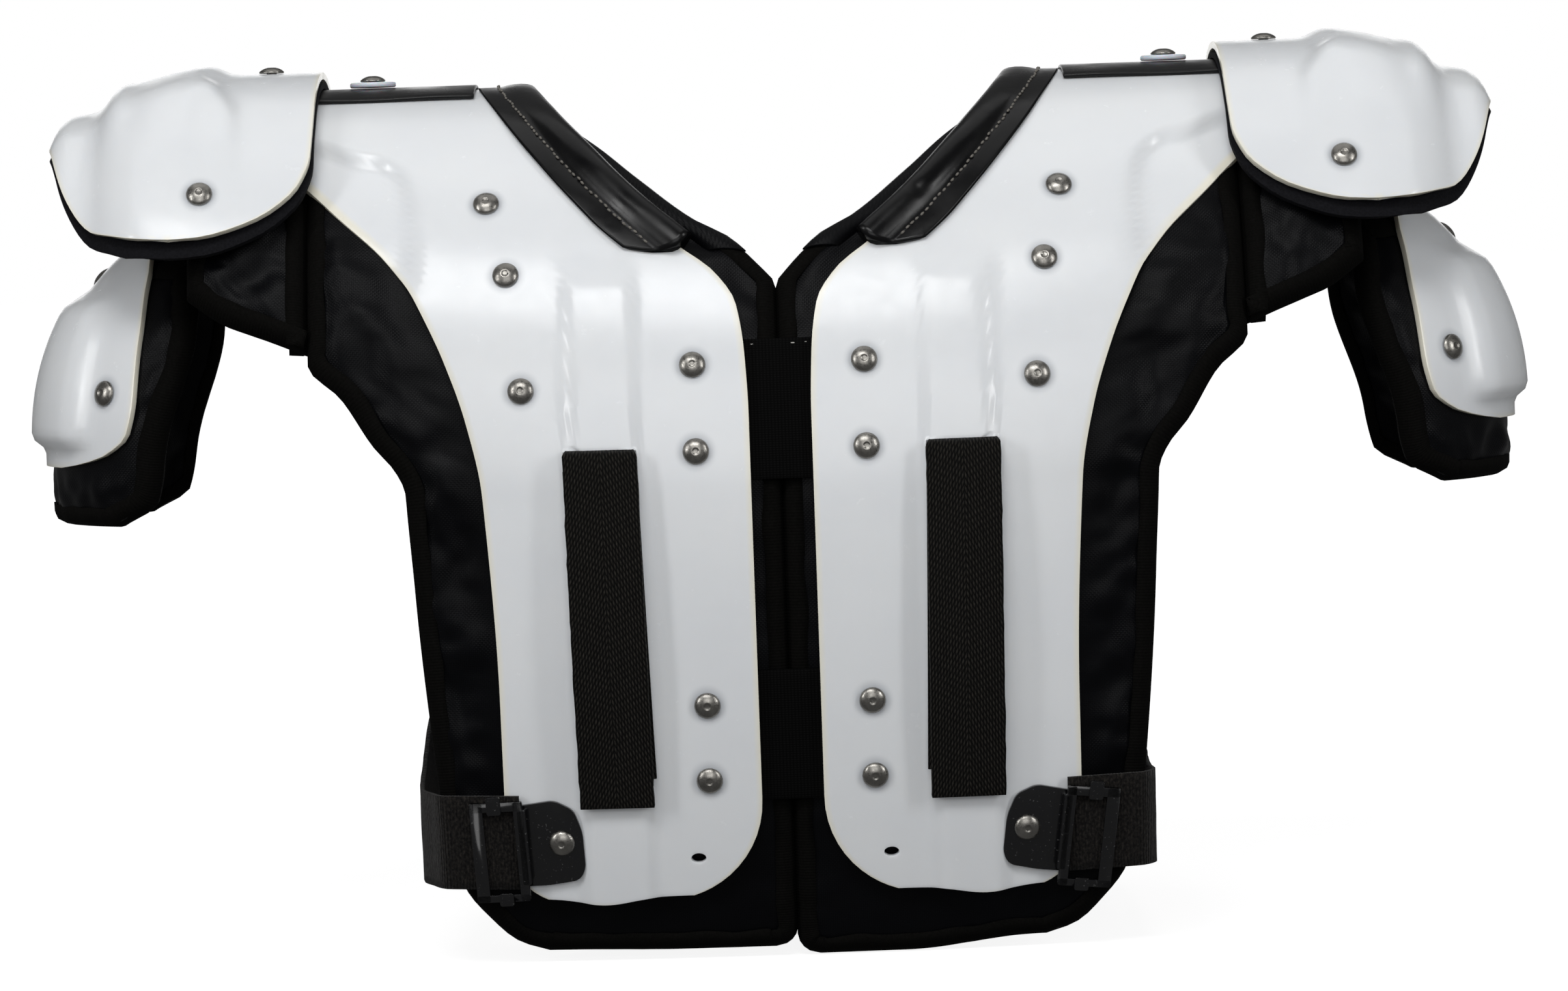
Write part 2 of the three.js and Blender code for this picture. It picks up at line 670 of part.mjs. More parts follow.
function epaulet(side) {
  const shell = saddle(side, EPAULET_SECTION.map((row) => row.across), 0, -SHELL_WALL, 0, 1);
  const { front, top } = EPAULET_RIVETS;
  const holes = [
    seatOnEpaulet(front.across, stationOfLevel(front.level), 0, side),
    seatOnEpaulet(top.across, RIDGE, 0, side),
  ];
  return cut(shell, holes.map((seat) => shankHole(SHELL_WALL * 2, seat)));
}

function epauletLining(side) {
  const outer = -(SHELL_WALL + SOFT_GAP);
  const falling = EPAULET_SECTION.filter((row) => row.rise < 0).map((row) => row.across);
  return saddle(side, [0, 0.6, ...falling], outer, outer - LINING, LINING_SHOW, 0);
}

/** A point of the cup: yaw in degrees from straight ahead, a height, and a distance out. */
function cupPoint(yaw, z, out) {
  const step = 180 / CUP_YAW_KNOTS;
  const atKnot = (knotYaw, height) => {
    const up = Math.max(0, height - CUP_CENTRE.z) / (CUP_CROWN + out);
    const spread = Math.sqrt(Math.max(0, 1 - up * up));
    const across = Math.sin(radians(knotYaw)) * (CUP_REACH + out) * spread;
    const back = -Math.cos(radians(knotYaw)) * (CUP_DEPTH + out) * spread;
    return new THREE.Vector3(CUP_CENTRE.x + across, back, height);
  };
  const levels = CUP_LEVELS.map((share) => share * CUP_CENTRE.z);
  const next = clamp(levels.findIndex((level) => level >= z), 1, levels.length - 1);
  const share = (z - levels[next - 1]) / (levels[next] - levels[next - 1]);
  const low = Math.floor(yaw / step) * step;
  const ring = (height) => atKnot(low, height).lerp(atKnot(low + step, height), (yaw - low) / step);
  return ring(levels[next - 1]).lerp(ring(levels[next]), share);
}

/** A shell or pad on the cup's form between a hem and a top. */
function cupShell(side, hem, top, table, columns, layers, place) {
  const least = 3;
  const levels = [hem, ...CUP_LEVELS.map((share) => share * CUP_CENTRE.z), top];
  const heights = levels.filter((z) => z === hem || z === top || (z > hem + least && z < top - least));
  return sheet(columns, heights.length - 1, layers, (column, row, layer) => {
    const z = heights[row];
    const yaw = read(table, 'height', (z - hem) / (top - hem), 'yaw');
    const point = place(between(yaw, 180 - yaw, column / columns), z, layer);
    point.x *= side;
    return point;
  });
}

function cup(side) {
  const shell = cupShell(side, CUP_HEM, CUP_TOP, CUP_EDGE, 8, 1, (yaw, z, layer) =>
    cupPoint(yaw, z, layer ? 0 : -SHELL_WALL),
  );
  const seats = [seatOnCup(CUP_RIVET.yaw, CUP_RIVET.height, 0, side), seatOnCup(90, CUP_TOP_RIVET, 0, side)];
  return cut(shell, seats.map((seat) => shankHole(SHELL_WALL * 2, seat)));
}

/** A seat on the cup, at a share of its height. */
function seatOnCup(yaw, height, lift, side) {
  const degreesPerMm = 180 / Math.PI / CUP_REACH;
  const z = between(CUP_HEM, CUP_TOP, height);
  return seatOn((across, up) => cupPoint(yaw + across * degreesPerMm, z + up, 0), lift, side);
}

function cupPad(side) {
  const front = -(SHELL_WALL + GAP + WEBBING + GAP);
  const drawnYaw = 3;
  return cupShell(side, CUP_PAD_HEM, CUP_PAD_TOP, CUP_PAD_EDGE, 8, 2, (yaw, z, layer) => {
    const toMiddle = (90 - yaw) / 90;
    const drawn = layer === 1 ? 0 : drawnYaw * toMiddle;
    return cupPoint(yaw + drawn, z, front - (1 - layer / 2) * CUP_PAD);
  });
}

function hingeStrap(side) {
  const start = NECK_EDGE + COLLAR_SECTION.at(-1).across + 2 * GAP;
  const flat = [start, between(start, ARCH_END, 0.5), ARCH_END];
  const hang = ARCH_END + HINGE_REACH;
  const tips = [CUP_TOP, ...CUP_LEVELS.slice(-3, -1).reverse().map((share) => share * CUP_CENTRE.z)];
  const rows = [-1, 0, 1];
  const columns = flat.length + HINGE_DROP.length + tips.length - 1;
  return sheet(columns, rows.length - 1, 1, (column, row, layer) => {
    let point;
    const out = GAP + layer * WEBBING;
    if (column < flat.length) {
      point = formPoint(flat[column], RIDGE + rows[row] * HINGE_HALF_WIDTH, out);
    } else if (column < flat.length + HINGE_DROP.length) {
      const { across, drop } = HINGE_DROP[column - flat.length];
      const ridge = formPoint(ARCH_END, RIDGE + rows[row] * HINGE_HALF_WIDTH, 0);
      const x = between(ARCH_END, hang, across) + out * across;
      const z = between(ridge.z, CUP_TOP + HINGE_CLEAR, drop) + out * (1 - across);
      point = new THREE.Vector3(x, ridge.y * between(1, HINGE_NARROWING, drop), z);
    } else {
      const z = tips[column - flat.length - HINGE_DROP.length];
      point = cupPoint(90 + rows[row] * HINGE_TIP_YAW, z, -SHELL_WALL - GAP - WEBBING + layer * WEBBING);
    }
    point.x *= side;
    return point;
  });
}

function washer(side) {
  const disc = new THREE.LatheGeometry(
    [
      [SHANK / 2 + HOLE_CLEARANCE, 0],
      [WASHER / 2, 0],
      [WASHER / 2, WASHER_THICKNESS],
      [SHANK / 2 + HOLE_CLEARANCE, WASHER_THICKNESS],
      [SHANK / 2 + HOLE_CLEARANCE, 0],
    ].map(([x, y]) => new THREE.Vector2(x, y)),
    8,
  ).rotateX(Math.PI / 2);
  return seated(disc, seatOnForm(RIDGE_RIVET_PLACE, RIDGE, GAP + WEBBING + GAP, side));
}

/** The doubled webbing that hangs in front of the rib and turns back into its slot. */
function beltWebbing(side) {
  const thickness = 2 * WEBBING;
  const near = RIB_RISE + GAP;
  const hem = stationAt(BELT_HEM);
  const slot = stationAt(SLOT_HEIGHT);
  const stations = stationsBetween(hem, slot - SLOT);
  const bend = [
    { station: slot + GAP, face: slot - thickness * 0.4, out: near + thickness * 0.5 },
    { station: slot + thickness / 2, face: slot - thickness / 2, out: -PLATE_WALL },
  ];
  const rows = stations.length - 1 + bend.length;
  return sheet(1, rows, 1, (column, row, layer) => {
    const x = BELT_CENTRE + (column - 0.5) * BELT_WIDTH;
    let point;
    if (row < stations.length) {
      point = formPoint(x, stations[row], near + layer * thickness);
    } else {
      const { station, face, out } = bend[row - stations.length];
      point = formPoint(x, layer ? station : face, layer ? out : Math.min(out, near));
    }
    point.x *= side;
    return point;
  });
}

/** The stamped buckle: riveted plate, ramp and slide frame, made flat and then seated. */
function buckle(side, tilt) {
  const thickness = BUCKLE.sheet;
  const depth = { depth: thickness, bevelEnabled: false };
  const tab = new THREE.Shape(BUCKLE_OUTLINE.map(({ across, up }) => new THREE.Vector2(across, up)));
  const ramp = new THREE.BoxGeometry(RAMP.width, RAMP.height, SLIDE.lift + thickness);
  ramp.translate(RAMP.start + RAMP.width / 2, -SLIDE.drop / 2, (SLIDE.lift + thickness) / 2);
  const half = SLIDE.height / 2;
  const frame = new THREE.Shape(
    [
      [SLIDE.inner, -half],
      [SLIDE.outer - SLIDE.corner, -half],
      [SLIDE.outer, SLIDE.corner - half],
      [SLIDE.outer, half - SLIDE.corner],
      [SLIDE.outer - SLIDE.corner, half],
      [SLIDE.inner, half],
    ].map(([x, y]) => new THREE.Vector2(x, y)),
  );
  const bar = SLIDE.slotStart - SLIDE.inner;
  frame.holes.push(
    new THREE.Path(
      [
        [SLIDE.slotStart, bar - half],
        [SLIDE.slotStart, half - bar],
        [SLIDE.slotStart + SLIDE.slot, half - bar],
        [SLIDE.slotStart + SLIDE.slot, bar - half],
      ].map(([x, y]) => new THREE.Vector2(x, y)),
    ),
  );
  const pieces = [
    new THREE.ExtrudeGeometry(tab, depth),
    ramp,
    new THREE.ExtrudeGeometry(frame, depth).translate(0, -SLIDE.drop, SLIDE.lift),
  ];
  const flat = join(pieces.map((piece) => faceOut(closed(piece))));
  const drilled = cut(flat, [shankHole(thickness * 2, new THREE.Matrix4())]);
  const turn = new THREE.Matrix4().makeRotationZ(-radians(tilt));
  return seated(drilled, seatOnForm(BUCKLE.x, stationAt(BUCKLE.z), GAP, side).multiply(turn));
}

/** The elastic strap round the side, from under the slide frame to the back plate. */
function sideStrap(side, bulge) {
  const start = BUCKLE.x + SLIDE.slotStart + WEBBING;
  const turn = between(start, SIDE_STRAP_RIM, 0.6);
  const face = legDepth(SIDE_STRAP_LEVEL) + 2 * GAP + WEBBING / 2;
  const onBib = (x) => [x, face - CHEST_BOW * (x / BIB_EDGE) ** 2];
  const half = [
    onBib(start),
    onBib(turn),
    ...STRAP_BEND.map(({ inside, back }) => [SIDE_STRAP_RIM - inside, face - back]),
    [bulge - SIDE_STRAP_SWELL.inside, face * SIDE_STRAP_SWELL.depth],
  ];
  const path = [...half.map(([x, y]) => [x, -y]), [bulge, 0], ...half.reverse()];
  const middle = new THREE.CatmullRomCurve3(path.map(([x, y]) => new THREE.Vector3(x, y, 0)));
  const steps = 20;
  return sheet(1, steps, 1, (column, row, layer) => {
    const point = middle.getPointAt(row / steps);
    const tangent = middle.getTangentAt(row / steps);
    const out = (layer - 0.5) * WEBBING;
    const z = SIDE_STRAP_LEVEL + (column - 0.5) * ELASTIC;
    const lean = legDepth(z) / legDepth(SIDE_STRAP_LEVEL);
    return new THREE.Vector3(side * (point.x + tangent.y * out), (point.y - tangent.x * out) * lean, z);
  });
}

function centreStrap(bottom, top, back) {
  const stations = stationsBetween(stationOfLevel(bottom), stationOfLevel(top));
  const outer = -(PLATE_WALL + GAP);
  const columns = 4;
  return sheet(columns, stations.length - 1, 1, (column, row, layer) => {
    const x = between(-CENTRE_STRAP_REACH, CENTRE_STRAP_REACH, column / columns);
    const station = back ? 2 * RIDGE - stations[row] : stations[row];
    return formPoint(x, station, outer - (1 - layer) * WEBBING);
  });
}

// Assembly

const pad3d = new THREE.Group();

function add(name, geometry, finish) {
  const mesh = new THREE.Mesh(geometry, new THREE.MeshStandardMaterial(FINISH[finish]));
  mesh.name = name;
  pad3d.add(mesh);
}

for (const [word, side] of [['left', -1], ['right', 1]]) {
  add(`plate_${word}`, plate(side), 'white');
  add(`chest_pad_${word}`, bodyPad(side, false), 'nylon');
  add(`back_pad_${word}`, bodyPad(side, true), 'nylon');
  add(`shoulder_pad_${word}`, shoulderPad(side), 'nylon');
  add(`neck_band_${word}`, neckBand(side), 'nylon');
  add(`collar_${word}`, collar(side), 'vinyl');
  add(`hinge_strap_${word}`, hingeStrap(side), 'vinyl');
  add(`washer_${word}`, washer(side), 'washer');
  add(`epaulet_${word}`, epaulet(side), 'white');
  add(`epaulet_lining_${word}`, epauletLining(side), 'nylon');
  add(`cup_${word}`, cup(side), 'white');
  add(`cup_pad_${word}`, cupPad(side), 'nylon');
  add(`belt_webbing_${word}`, beltWebbing(side), 'webbing');
  add(`buckle_${word}`, buckle(side, BUCKLE_TILT[word]), 'enamel');
  add(`side_strap_${word}`, sideStrap(side, SIDE_STRAP_BULGE[word]), 'elastic');
  const grip = PLATE_WALL - GAP;
  for (const row of BIB_RIVETS) {
    add(`rivet_${row.name}_${word}`, rivet(grip, bibSeat(row, GAP, side)), 'steel');
  }
  const buckleFace = GAP + BUCKLE.sheet + GAP;
  const buckleSeat = seatOnForm(BUCKLE.x, stationAt(BUCKLE.z), buckleFace, side);
  add(`rivet_buckle_${word}`, rivet(grip + BUCKLE.sheet, buckleSeat), 'steel');
  const washerFace = GAP + WEBBING + GAP + WASHER_THICKNESS + GAP;
  add(`rivet_ridge_${word}`, rivet(WASHER_THICKNESS, seatOnForm(RIDGE_RIVET_PLACE, RIDGE, washerFace, side)), 'steel');
  const { front, top } = EPAULET_RIVETS;
  const frontSeat = seatOnEpaulet(front.across, stationOfLevel(front.level), GAP, side);
  add(`rivet_epaulet_${word}`, rivet(grip, frontSeat), 'steel');
  add(`rivet_epaulet_top_${word}`, rivet(grip, seatOnEpaulet(top.across, RIDGE, GAP, side)), 'steel');
  add(`rivet_cup_${word}`, rivet(grip, seatOnCup(CUP_RIVET.yaw, CUP_RIVET.height, GAP, side)), 'steel');
  add(`rivet_cup_top_${word}`, rivet(grip, seatOnCup(90, CUP_TOP_RIVET, GAP, side)), 'steel');
}
for (const { name, bottom, top } of CENTRE_STRAPS) {
  add(`centre_strap_${name}_front`, centreStrap(bottom, top, false), 'webbing');
  add(`centre_strap_${name}_back`, centreStrap(bottom, top, true), 'webbing');
}

export default pad3d;
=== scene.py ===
"""Football shoulder pad: white moulded arches, epaulets and cups over black nylon pads.

Lengths are in millimetres until a piece is placed. The front faces -Y, and z = 0 is the floor.
Seen from the front, a piece named left lies at -X and one named right at +X. Each is shaped at
+X and mirrored by its side, -1 or 1. A station is a length along the outer face of the arches,
from the front hem over the ridge to the back hem. "out" is a distance out of that face.
"""

import math
from bisect import bisect_right
from functools import lru_cache

import bmesh
import bpy
from mathutils import Matrix, Vector, noise
from mathutils.kdtree import KDTree


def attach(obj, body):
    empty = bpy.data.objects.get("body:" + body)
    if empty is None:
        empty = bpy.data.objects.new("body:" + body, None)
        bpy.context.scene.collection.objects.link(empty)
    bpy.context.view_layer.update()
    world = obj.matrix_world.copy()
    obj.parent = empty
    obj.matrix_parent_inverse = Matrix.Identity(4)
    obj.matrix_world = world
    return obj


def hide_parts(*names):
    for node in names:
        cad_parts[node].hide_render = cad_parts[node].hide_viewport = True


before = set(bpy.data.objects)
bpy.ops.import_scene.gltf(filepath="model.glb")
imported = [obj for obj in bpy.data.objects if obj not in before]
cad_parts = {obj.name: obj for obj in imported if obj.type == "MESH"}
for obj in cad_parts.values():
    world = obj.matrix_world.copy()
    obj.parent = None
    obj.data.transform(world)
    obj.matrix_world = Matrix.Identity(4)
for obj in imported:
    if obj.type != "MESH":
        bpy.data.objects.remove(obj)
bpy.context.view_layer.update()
MM = 0.001
SIDES = ((-1, "left"), (1, "right"))

# Body form, as in the solids
RIDGE_HEIGHT = 372
LEG_HEIGHT = 200
CHEST_DEPTH = 135
HEM_TUCK = 32
CHEST_BOW = 7

# Plate
PLATE_WALL = 3
PLATE_HEM = 29
PLATE_CORNER_START = 1.8  # how far into its corners' arcs the plate's hem begins
CENTRE_EDGE = 13
NECK_EDGE = 110
BIB_EDGE = 121
ARCH_END = 235
INNER_CORNER = 42
OUTER_CORNER = 26
BACK_NECK_DROP = 17
RIB_CENTRE = 74
RIB_WIDTH = 28
RIB_RISE = 2.6
RIB_TOP = 299
RIB_FLANK = 7  # width of its sloping sides
HEM_WAVE = 3.2  # how far the hem hangs lower under the rib
RECESS = 4.2  # how deep the armhole side of the plate is pressed in
SLOT = {"x": 75.5, "z": 216, "width": 31, "height": 4.5}
DRAIN = {"x": 40.5, "z": 45, "width": 6.5, "height": 4.5}

# Straps and gaps
GAP = 0.3
WEBBING = 1.8
BELT_WIDTH = 31
BELT_CENTRE = 75.5
BELT_HEM = 68
BELT_LEAN = 2  # how far its lower end hangs towards the middle
ELASTIC = 40
SIDE_STRAP_LEVEL = 54
SIDE_STRAP_RIM = 152
SIDE_STRAP_BULGE = {"left": 160, "right": 154}
SIDE_STRAP_RISE = {"left": 24, "right": 4}  # how much higher the elastic meets the back plate
CENTRE_STRAP_REACH = 46
CENTRE_STRAPS = (("upper", 204, 263), ("lower", 69, 124))
HINGE_HALF_WIDTH = 33

# Pads
PAD_FRONT = -(PLATE_WALL + GAP + WEBBING + GAP)
PAD_HALF = 8  # half of the thickness
PAD_RIM = 2.4  # half of the thickness at the bound edge
PAD_ROUND = 13  # how far in from the edge the pad reaches its full thickness
PAD_SIDE = 155
LOBE_SEAM = 197
LOBE_END = 248
TAPE = 8  # how far the binding reaches in from the edge
PAD_MIDDLE = PAD_FRONT - PAD_HALF
PAD_LIFT = {"left": 4.5, "right": 0.6, "outside": 5.5}  # how far the front hems hang off the floor
PAD_STEPS = (1.2, 3, 5.5, 9, 13)  # the closer rows of its mesh, this far in from the edge
PAD_SPREAD = 125  # width that a body pad's columns are spaced for
NECK_BAND_WIDTH = 17

# Epaulet and cup
SHELL_WALL = 3
LINING = 2.6
EPAULET_INNER = 194
EPAULET_OUTER = 313
EPAULET_HEM = 306
CUP_CENTRE = (227, 0, 225)
CUP_AXES = (97, 92, 105)
CUP_HEM = 215
CUP_TOP = 316
CUP_PAD_HALF = 7
CUP_PAD_INSET = 10  # how far inside the cup's face the lengths round its pad are read
CUP_PAD_HEM = 190
CUP_PAD_TOP = 303

# Stitches
STITCH_SEED = 9  # fixes the small shifts of the stitches, which noise_vector draws by the clock

# Rivets and buckle
WASHER = 20
WASHER_THICKNESS = 2.2
RIVET_SHADE_SPAN = (4.5, 9.5)  # from where to where the plastic is darker round a rivet: a painted shade
EPAULET_RIVET = {"x": 240.8, "z": 323}
EPAULET_TOP_RIVET = 216.5
CUP_RIVET = {"yaw": 41, "z": 247}
CUP_TOP_RIVET = {"yaw": 90, "z": 296, "sink": 1.4}
BUCKLE = {"x": 97.4, "z": 53.9, "sheet": 1.5, "lift": 3}
BUCKLE_TILT = {"left": 3, "right": 12}
# Rivets of the bib: name, x and z
BIB_RIVETS = (
    ("shoulder", 120.5, 321.8),
    ("upper_chest", 112.6, 291.8),
    ("chest", 107.4, 243.7),
    ("strap_1", 35.7, 252.3),
    ("strap_2", 35.4, 216.6),
    ("strap_3", 34.4, 110.3),
    ("strap_4", 34.6, 78.4),
)

# Edges of the plate. neck: share of the way from the centre edge to the neck edge.
# arm: share of the way from the bib's side to the arch's end.
PLATE_EDGES = (
    {"level": 0, "neck": 0, "arm": 0},
    {"level": 0.3, "neck": 0, "arm": 0},
    {"level": 0.54, "neck": 0, "arm": 0.035},
    {"level": 0.62, "neck": 0, "arm": 0.085},
    {"level": 0.69, "neck": 0.01, "arm": 0.16},
    {"level": 0.745, "neck": 0.04, "arm": 0.24},
    {"level": 0.78, "neck": 0.125, "arm": 0.3},
    {"level": 0.815, "neck": 0.3, "arm": 0.385},
    {"level": 0.86, "neck": 0.51, "arm": 0.54},
    {"level": 0.895, "neck": 0.63, "arm": 0.66},
    {"level": 0.935, "neck": 0.785, "arm": 0.81},
    {"level": 0.975, "neck": 0.91, "arm": 0.93},
    {"level": 1, "neck": 1, "arm": 1},
)
# Edge of the pressed-in field beside the armhole: middle of its step, from the middle of the pad
RECESS_EDGE = (
    {"level": 0.7, "x": 158},
    {"level": 0.78, "x": 153},
    {"level": 0.85, "x": 152},
    {"level": 0.89, "x": 154.5},
    {"level": 0.915, "x": 161},
    {"level": 0.927, "x": 178},
    {"level": 0.942, "x": 194},
    {"level": 0.95, "x": 240},
)
# Edges of the body pads. neck: share of the neck edge. side: share of the pads' side.
# arm: share of the way from there to the shoulder seam.
PAD_EDGES = (
    {"level": 0, "neck": 0, "side": 0.68, "arm": 0},
    {"level": 0.012, "neck": 0, "side": 0.76, "arm": 0},
    {"level": 0.04, "neck": 0, "side": 0.83, "arm": 0},
    {"level": 0.081, "neck": 0, "side": 0.9, "arm": 0},
    {"level": 0.14, "neck": 0, "side": 0.94, "arm": 0},
    {"level": 0.19, "neck": 0, "side": 0.955, "arm": 0},
    {"level": 0.43, "neck": 0, "side": 1, "arm": 0},
    {"level": 0.54, "neck": 0, "side": 1.01, "arm": 0.02},
    {"level": 0.575, "neck": 0, "side": 1, "arm": 0.18},
    {"level": 0.6, "neck": 0, "side": 1, "arm": 0.36},
    {"level": 0.66, "neck": 0, "side": 1, "arm": 0.68},
    {"level": 0.7, "neck": 0, "side": 1, "arm": 1},
    {"level": 0.775, "neck": 0, "side": 1, "arm": 1},
    {"level": 0.8, "neck": 0.06, "side": 1, "arm": 1},
    {"level": 0.83, "neck": 0.165, "side": 1, "arm": 1},
    {"level": 0.85, "neck": 0.29, "side": 1, "arm": 1},
    {"level": 0.9, "neck": 0.5, "side": 1, "arm": 1},
    {"level": 0.95, "neck": 0.7, "side": 1, "arm": 1},
    {"level": 0.975, "neck": 0.85, "side": 1, "arm": 1},
    {"level": 1, "neck": 0.96, "side": 1, "arm": 1},
)
# Hem of the shoulder pad, from the seam to its outer end
LOBE_HEM = (
    {"across": 0, "level": 0.714},
    {"across": 0.35, "level": 0.735},
    {"across": 0.7, "level": 0.755},
    {"across": 1, "level": 0.785},
)
# Inner and outer edge of the epaulet, as shares of its width
EPAULET_EDGES = (
    {"level": 0.821, "inner": 0.5, "outer": 0.51},
    {"level": 0.8225, "inner": 0.42, "outer": 0.6},
    {"level": 0.832, "inner": 0.29, "outer": 0.7},
    {"level": 0.85, "inner": 0.15, "outer": 0.79},
    {"level": 0.878, "inner": 0.045, "outer": 0.86},
    {"level": 0.91, "inner": 0.005, "outer": 0.91},
    {"level": 0.96, "inner": 0, "outer": 0.96},
    {"level": 1, "inner": 0, "outer": 1},
)
# Section of the epaulet on the ridge: rise above its inner flange in millimetres
EPAULET_SECTION = (
    {"across": 0, "rise": 0},
    {"across": 0.27, "rise": 0},
    {"across": 0.31, "rise": 0.3},
    {"across": 0.4, "rise": 4},
    {"across": 0.5, "rise": 2.6},
    {"across": 0.6, "rise": 0},
    {"across": 0.7, "rise": -3.6},
    {"across": 0.755, "rise": -7.5},
    {"across": 0.79, "rise": -11.5},
    {"across": 0.83, "rise": -14},
    {"across": 0.91, "rise": -15.5},
    {"across": 0.955, "rise": -19},
    {"across": 1, "rise": -29},
)
# Front edge of the cup and of its pad: a share of the height, and a yaw from straight ahead
CUP_EDGE = (
    {"height": 0, "yaw": 62},
    {"height": 0.02, "yaw": 50},
    {"height": 0.06, "yaw": 40},
    {"height": 0.14, "yaw": 33},
    {"height": 0.3, "yaw": 31},
    {"height": 0.55, "yaw": 32},
    {"height": 0.8, "yaw": 38},
    {"height": 0.93, "yaw": 50},
    {"height": 1, "yaw": 66},
)
CUP_PAD_EDGE = (
    {"height": 0, "yaw": 42},
    {"height": 0.08, "yaw": 29},
    {"height": 0.3, "yaw": 25},
    {"height": 0.7, "yaw": 17},
    {"height": 1, "yaw": 24},
)


# Small helpers


def between(start, end, share):
    return start + (end - start) * share


def clamp(value, low=0.0, high=1.0):
    return max(low, min(high, value))


def ease(value):
    """0 to 1 with a soft start and end."""
    value = clamp(value)
    return value * value * (3 - 2 * value)


def bump(value, centre, width):
    """1 at the centre, falling softly to 0 over the width."""
    return math.exp(-(((value - centre) / width) ** 2))


def read(table, key, value, column):
    """One column of a table at a value of its key column, on a smooth curve without overshoot."""
    keys = [row[key] for row in table]
    values = [row[column] for row in table]
    if value <= keys[0]:
        return values[0]
    if value >= keys[-1]:
        return values[-1]
    i = bisect_right(keys, value) - 1
    slopes = [(values[k + 1] - values[k]) / (keys[k + 1] - keys[k]) for k in range(len(keys) - 1)]

    def tangent(k):
        if k == 0 or k == len(keys) - 1:
            return slopes[min(k, len(slopes) - 1)]
        low, high = slopes[k - 1], slopes[k]
        return 0 if low * high <= 0 else 2 * low * high / (low + high)

    step = keys[i + 1] - keys[i]
    t = (value - keys[i]) / step
    start, end = tangent(i) * step, tangent(i + 1) * step
    rise = values[i + 1] - values[i]
    return values[i] + t * (start + t * (3 * rise - 2 * start - end + t * (start + end - 2 * rise)))


def spread(start, end, step, edge=()):
    """Places from start to end, about a step apart, with closer ones this far in from both ends."""
    first = start + edge[-1] if edge else start
    last = end - edge[-1] if edge else end
    count = max(1, round((last - first) / step))
    middle = [between(first, last, i / count) for i in range(count + 1)]
    low = [start] + [start + inset for inset in edge[:-1]] if edge else []
    return low + middle + [start + end - place for place in reversed(low)]


# The body form


def leg_depth(z):
    below = max(0.0, 1 - z / LEG_HEIGHT)
    return CHEST_DEPTH - HEM_TUCK * below * below


def front_profile(steps=60):
    """Rows of (station, y, z, out y, out z) from the front hem to the ridge."""
    rise = RIDGE_HEIGHT - LEG_HEIGHT
    rows = []
    for i in range(steps):
        z = LEG_HEIGHT * i / steps
        rows.append([0.0, -leg_depth(z), z, -1.0, 0.0])
    for i in range(steps + 1):
        angle = math.pi / 2 * i / steps
        out = Vector((-math.cos(angle) / CHEST_DEPTH, math.sin(angle) / rise)).normalized()
        y, z = -CHEST_DEPTH * math.cos(angle), LEG_HEIGHT + rise * math.sin(angle)
        rows.append([0.0, y, z, out.x, out.y])
    for low, high in zip(rows, rows[1:]):
        high[0] = low[0] + math.hypot(high[1] - low[1], high[2] - low[2])
    return rows


PROFILE = front_profile()
STATIONS = [row[0] for row in PROFILE]
HEIGHTS = [row[2] for row in PROFILE]
RIDGE = STATIONS[-1]


def station_at(z):
    """Station of a height on the front half."""
    i = int(clamp(bisect_right(HEIGHTS, z) - 1, 0, len(HEIGHTS) - 2))
    return between(STATIONS[i], STATIONS[i + 1], (z - HEIGHTS[i]) / (HEIGHTS[i + 1] - HEIGHTS[i]))


def to_front(station):
    return RIDGE - abs(station - RIDGE)


@lru_cache(None)
def form_row(station):
    front = to_front(station)
    i = int(clamp(bisect_right(STATIONS, front) - 1, 0, len(STATIONS) - 2))
    low, high = PROFILE[i], PROFILE[i + 1]
    share = (front - low[0]) / (high[0] - low[0])
    y, z, out_y, out_z = (between(low[k], high[k], share) for k in (1, 2, 3, 4))
    side = 1 if station <= RIDGE else -1
    bow = CHEST_BOW * clamp(2 - front / LEG_HEIGHT)
    return side * y, z, side * out_y, out_z, side * bow


def form_point(x, station, out):
    """A point of the form, on the +X side: x from the middle, a station, a distance out."""
    y, z, out_y, out_z, bow = form_row(station)
    return Vector((x, y + out_y * out + bow * (x / BIB_EDGE) ** 2, z + out_z * out))


@lru_cache(None)
def height_at(station):
    return form_row(station)[1]


@lru_cache(None)
def neck_level(station):
    """Share of the ridge height at which the neckline is read: the back one is lower."""
    z = height_at(station)
    if station > RIDGE:
        z += BACK_NECK_DROP * clamp((RIDGE_HEIGHT - z) / (2 * BACK_NECK_DROP)) * clamp(z / LEG_HEIGHT)
    return min(z / RIDGE_HEIGHT, 1)


def corner_inset(height, radius):
    rest = clamp(radius - height, 0, radius)
    return radius - math.sqrt(radius * radius - rest * rest)


@lru_cache(None)
def neckline(station):
    return between(CENTRE_EDGE, NECK_EDGE, read(PLATE_EDGES, "level", neck_level(station), "neck"))


@lru_cache(None)
def arm_edge(station):
    return between(BIB_EDGE, ARCH_END, read(PLATE_EDGES, "level", height_at(station) / RIDGE_HEIGHT, "arm"))


@lru_cache(None)
def pad_edges(station):
    level = height_at(station) / RIDGE_HEIGHT
    inner = GAP + NECK_EDGE * read(PAD_EDGES, "level", neck_level(station), "neck")
    outer = PAD_SIDE * read(PAD_EDGES, "level", level, "side")
    return inner, outer + (LOBE_SEAM - PAD_SIDE) * read(PAD_EDGES, "level", level, "arm")


@lru_cache(None)
def recess_edge(station):
    return read(RECESS_EDGE, "level", height_at(station) / RIDGE_HEIGHT, "x")


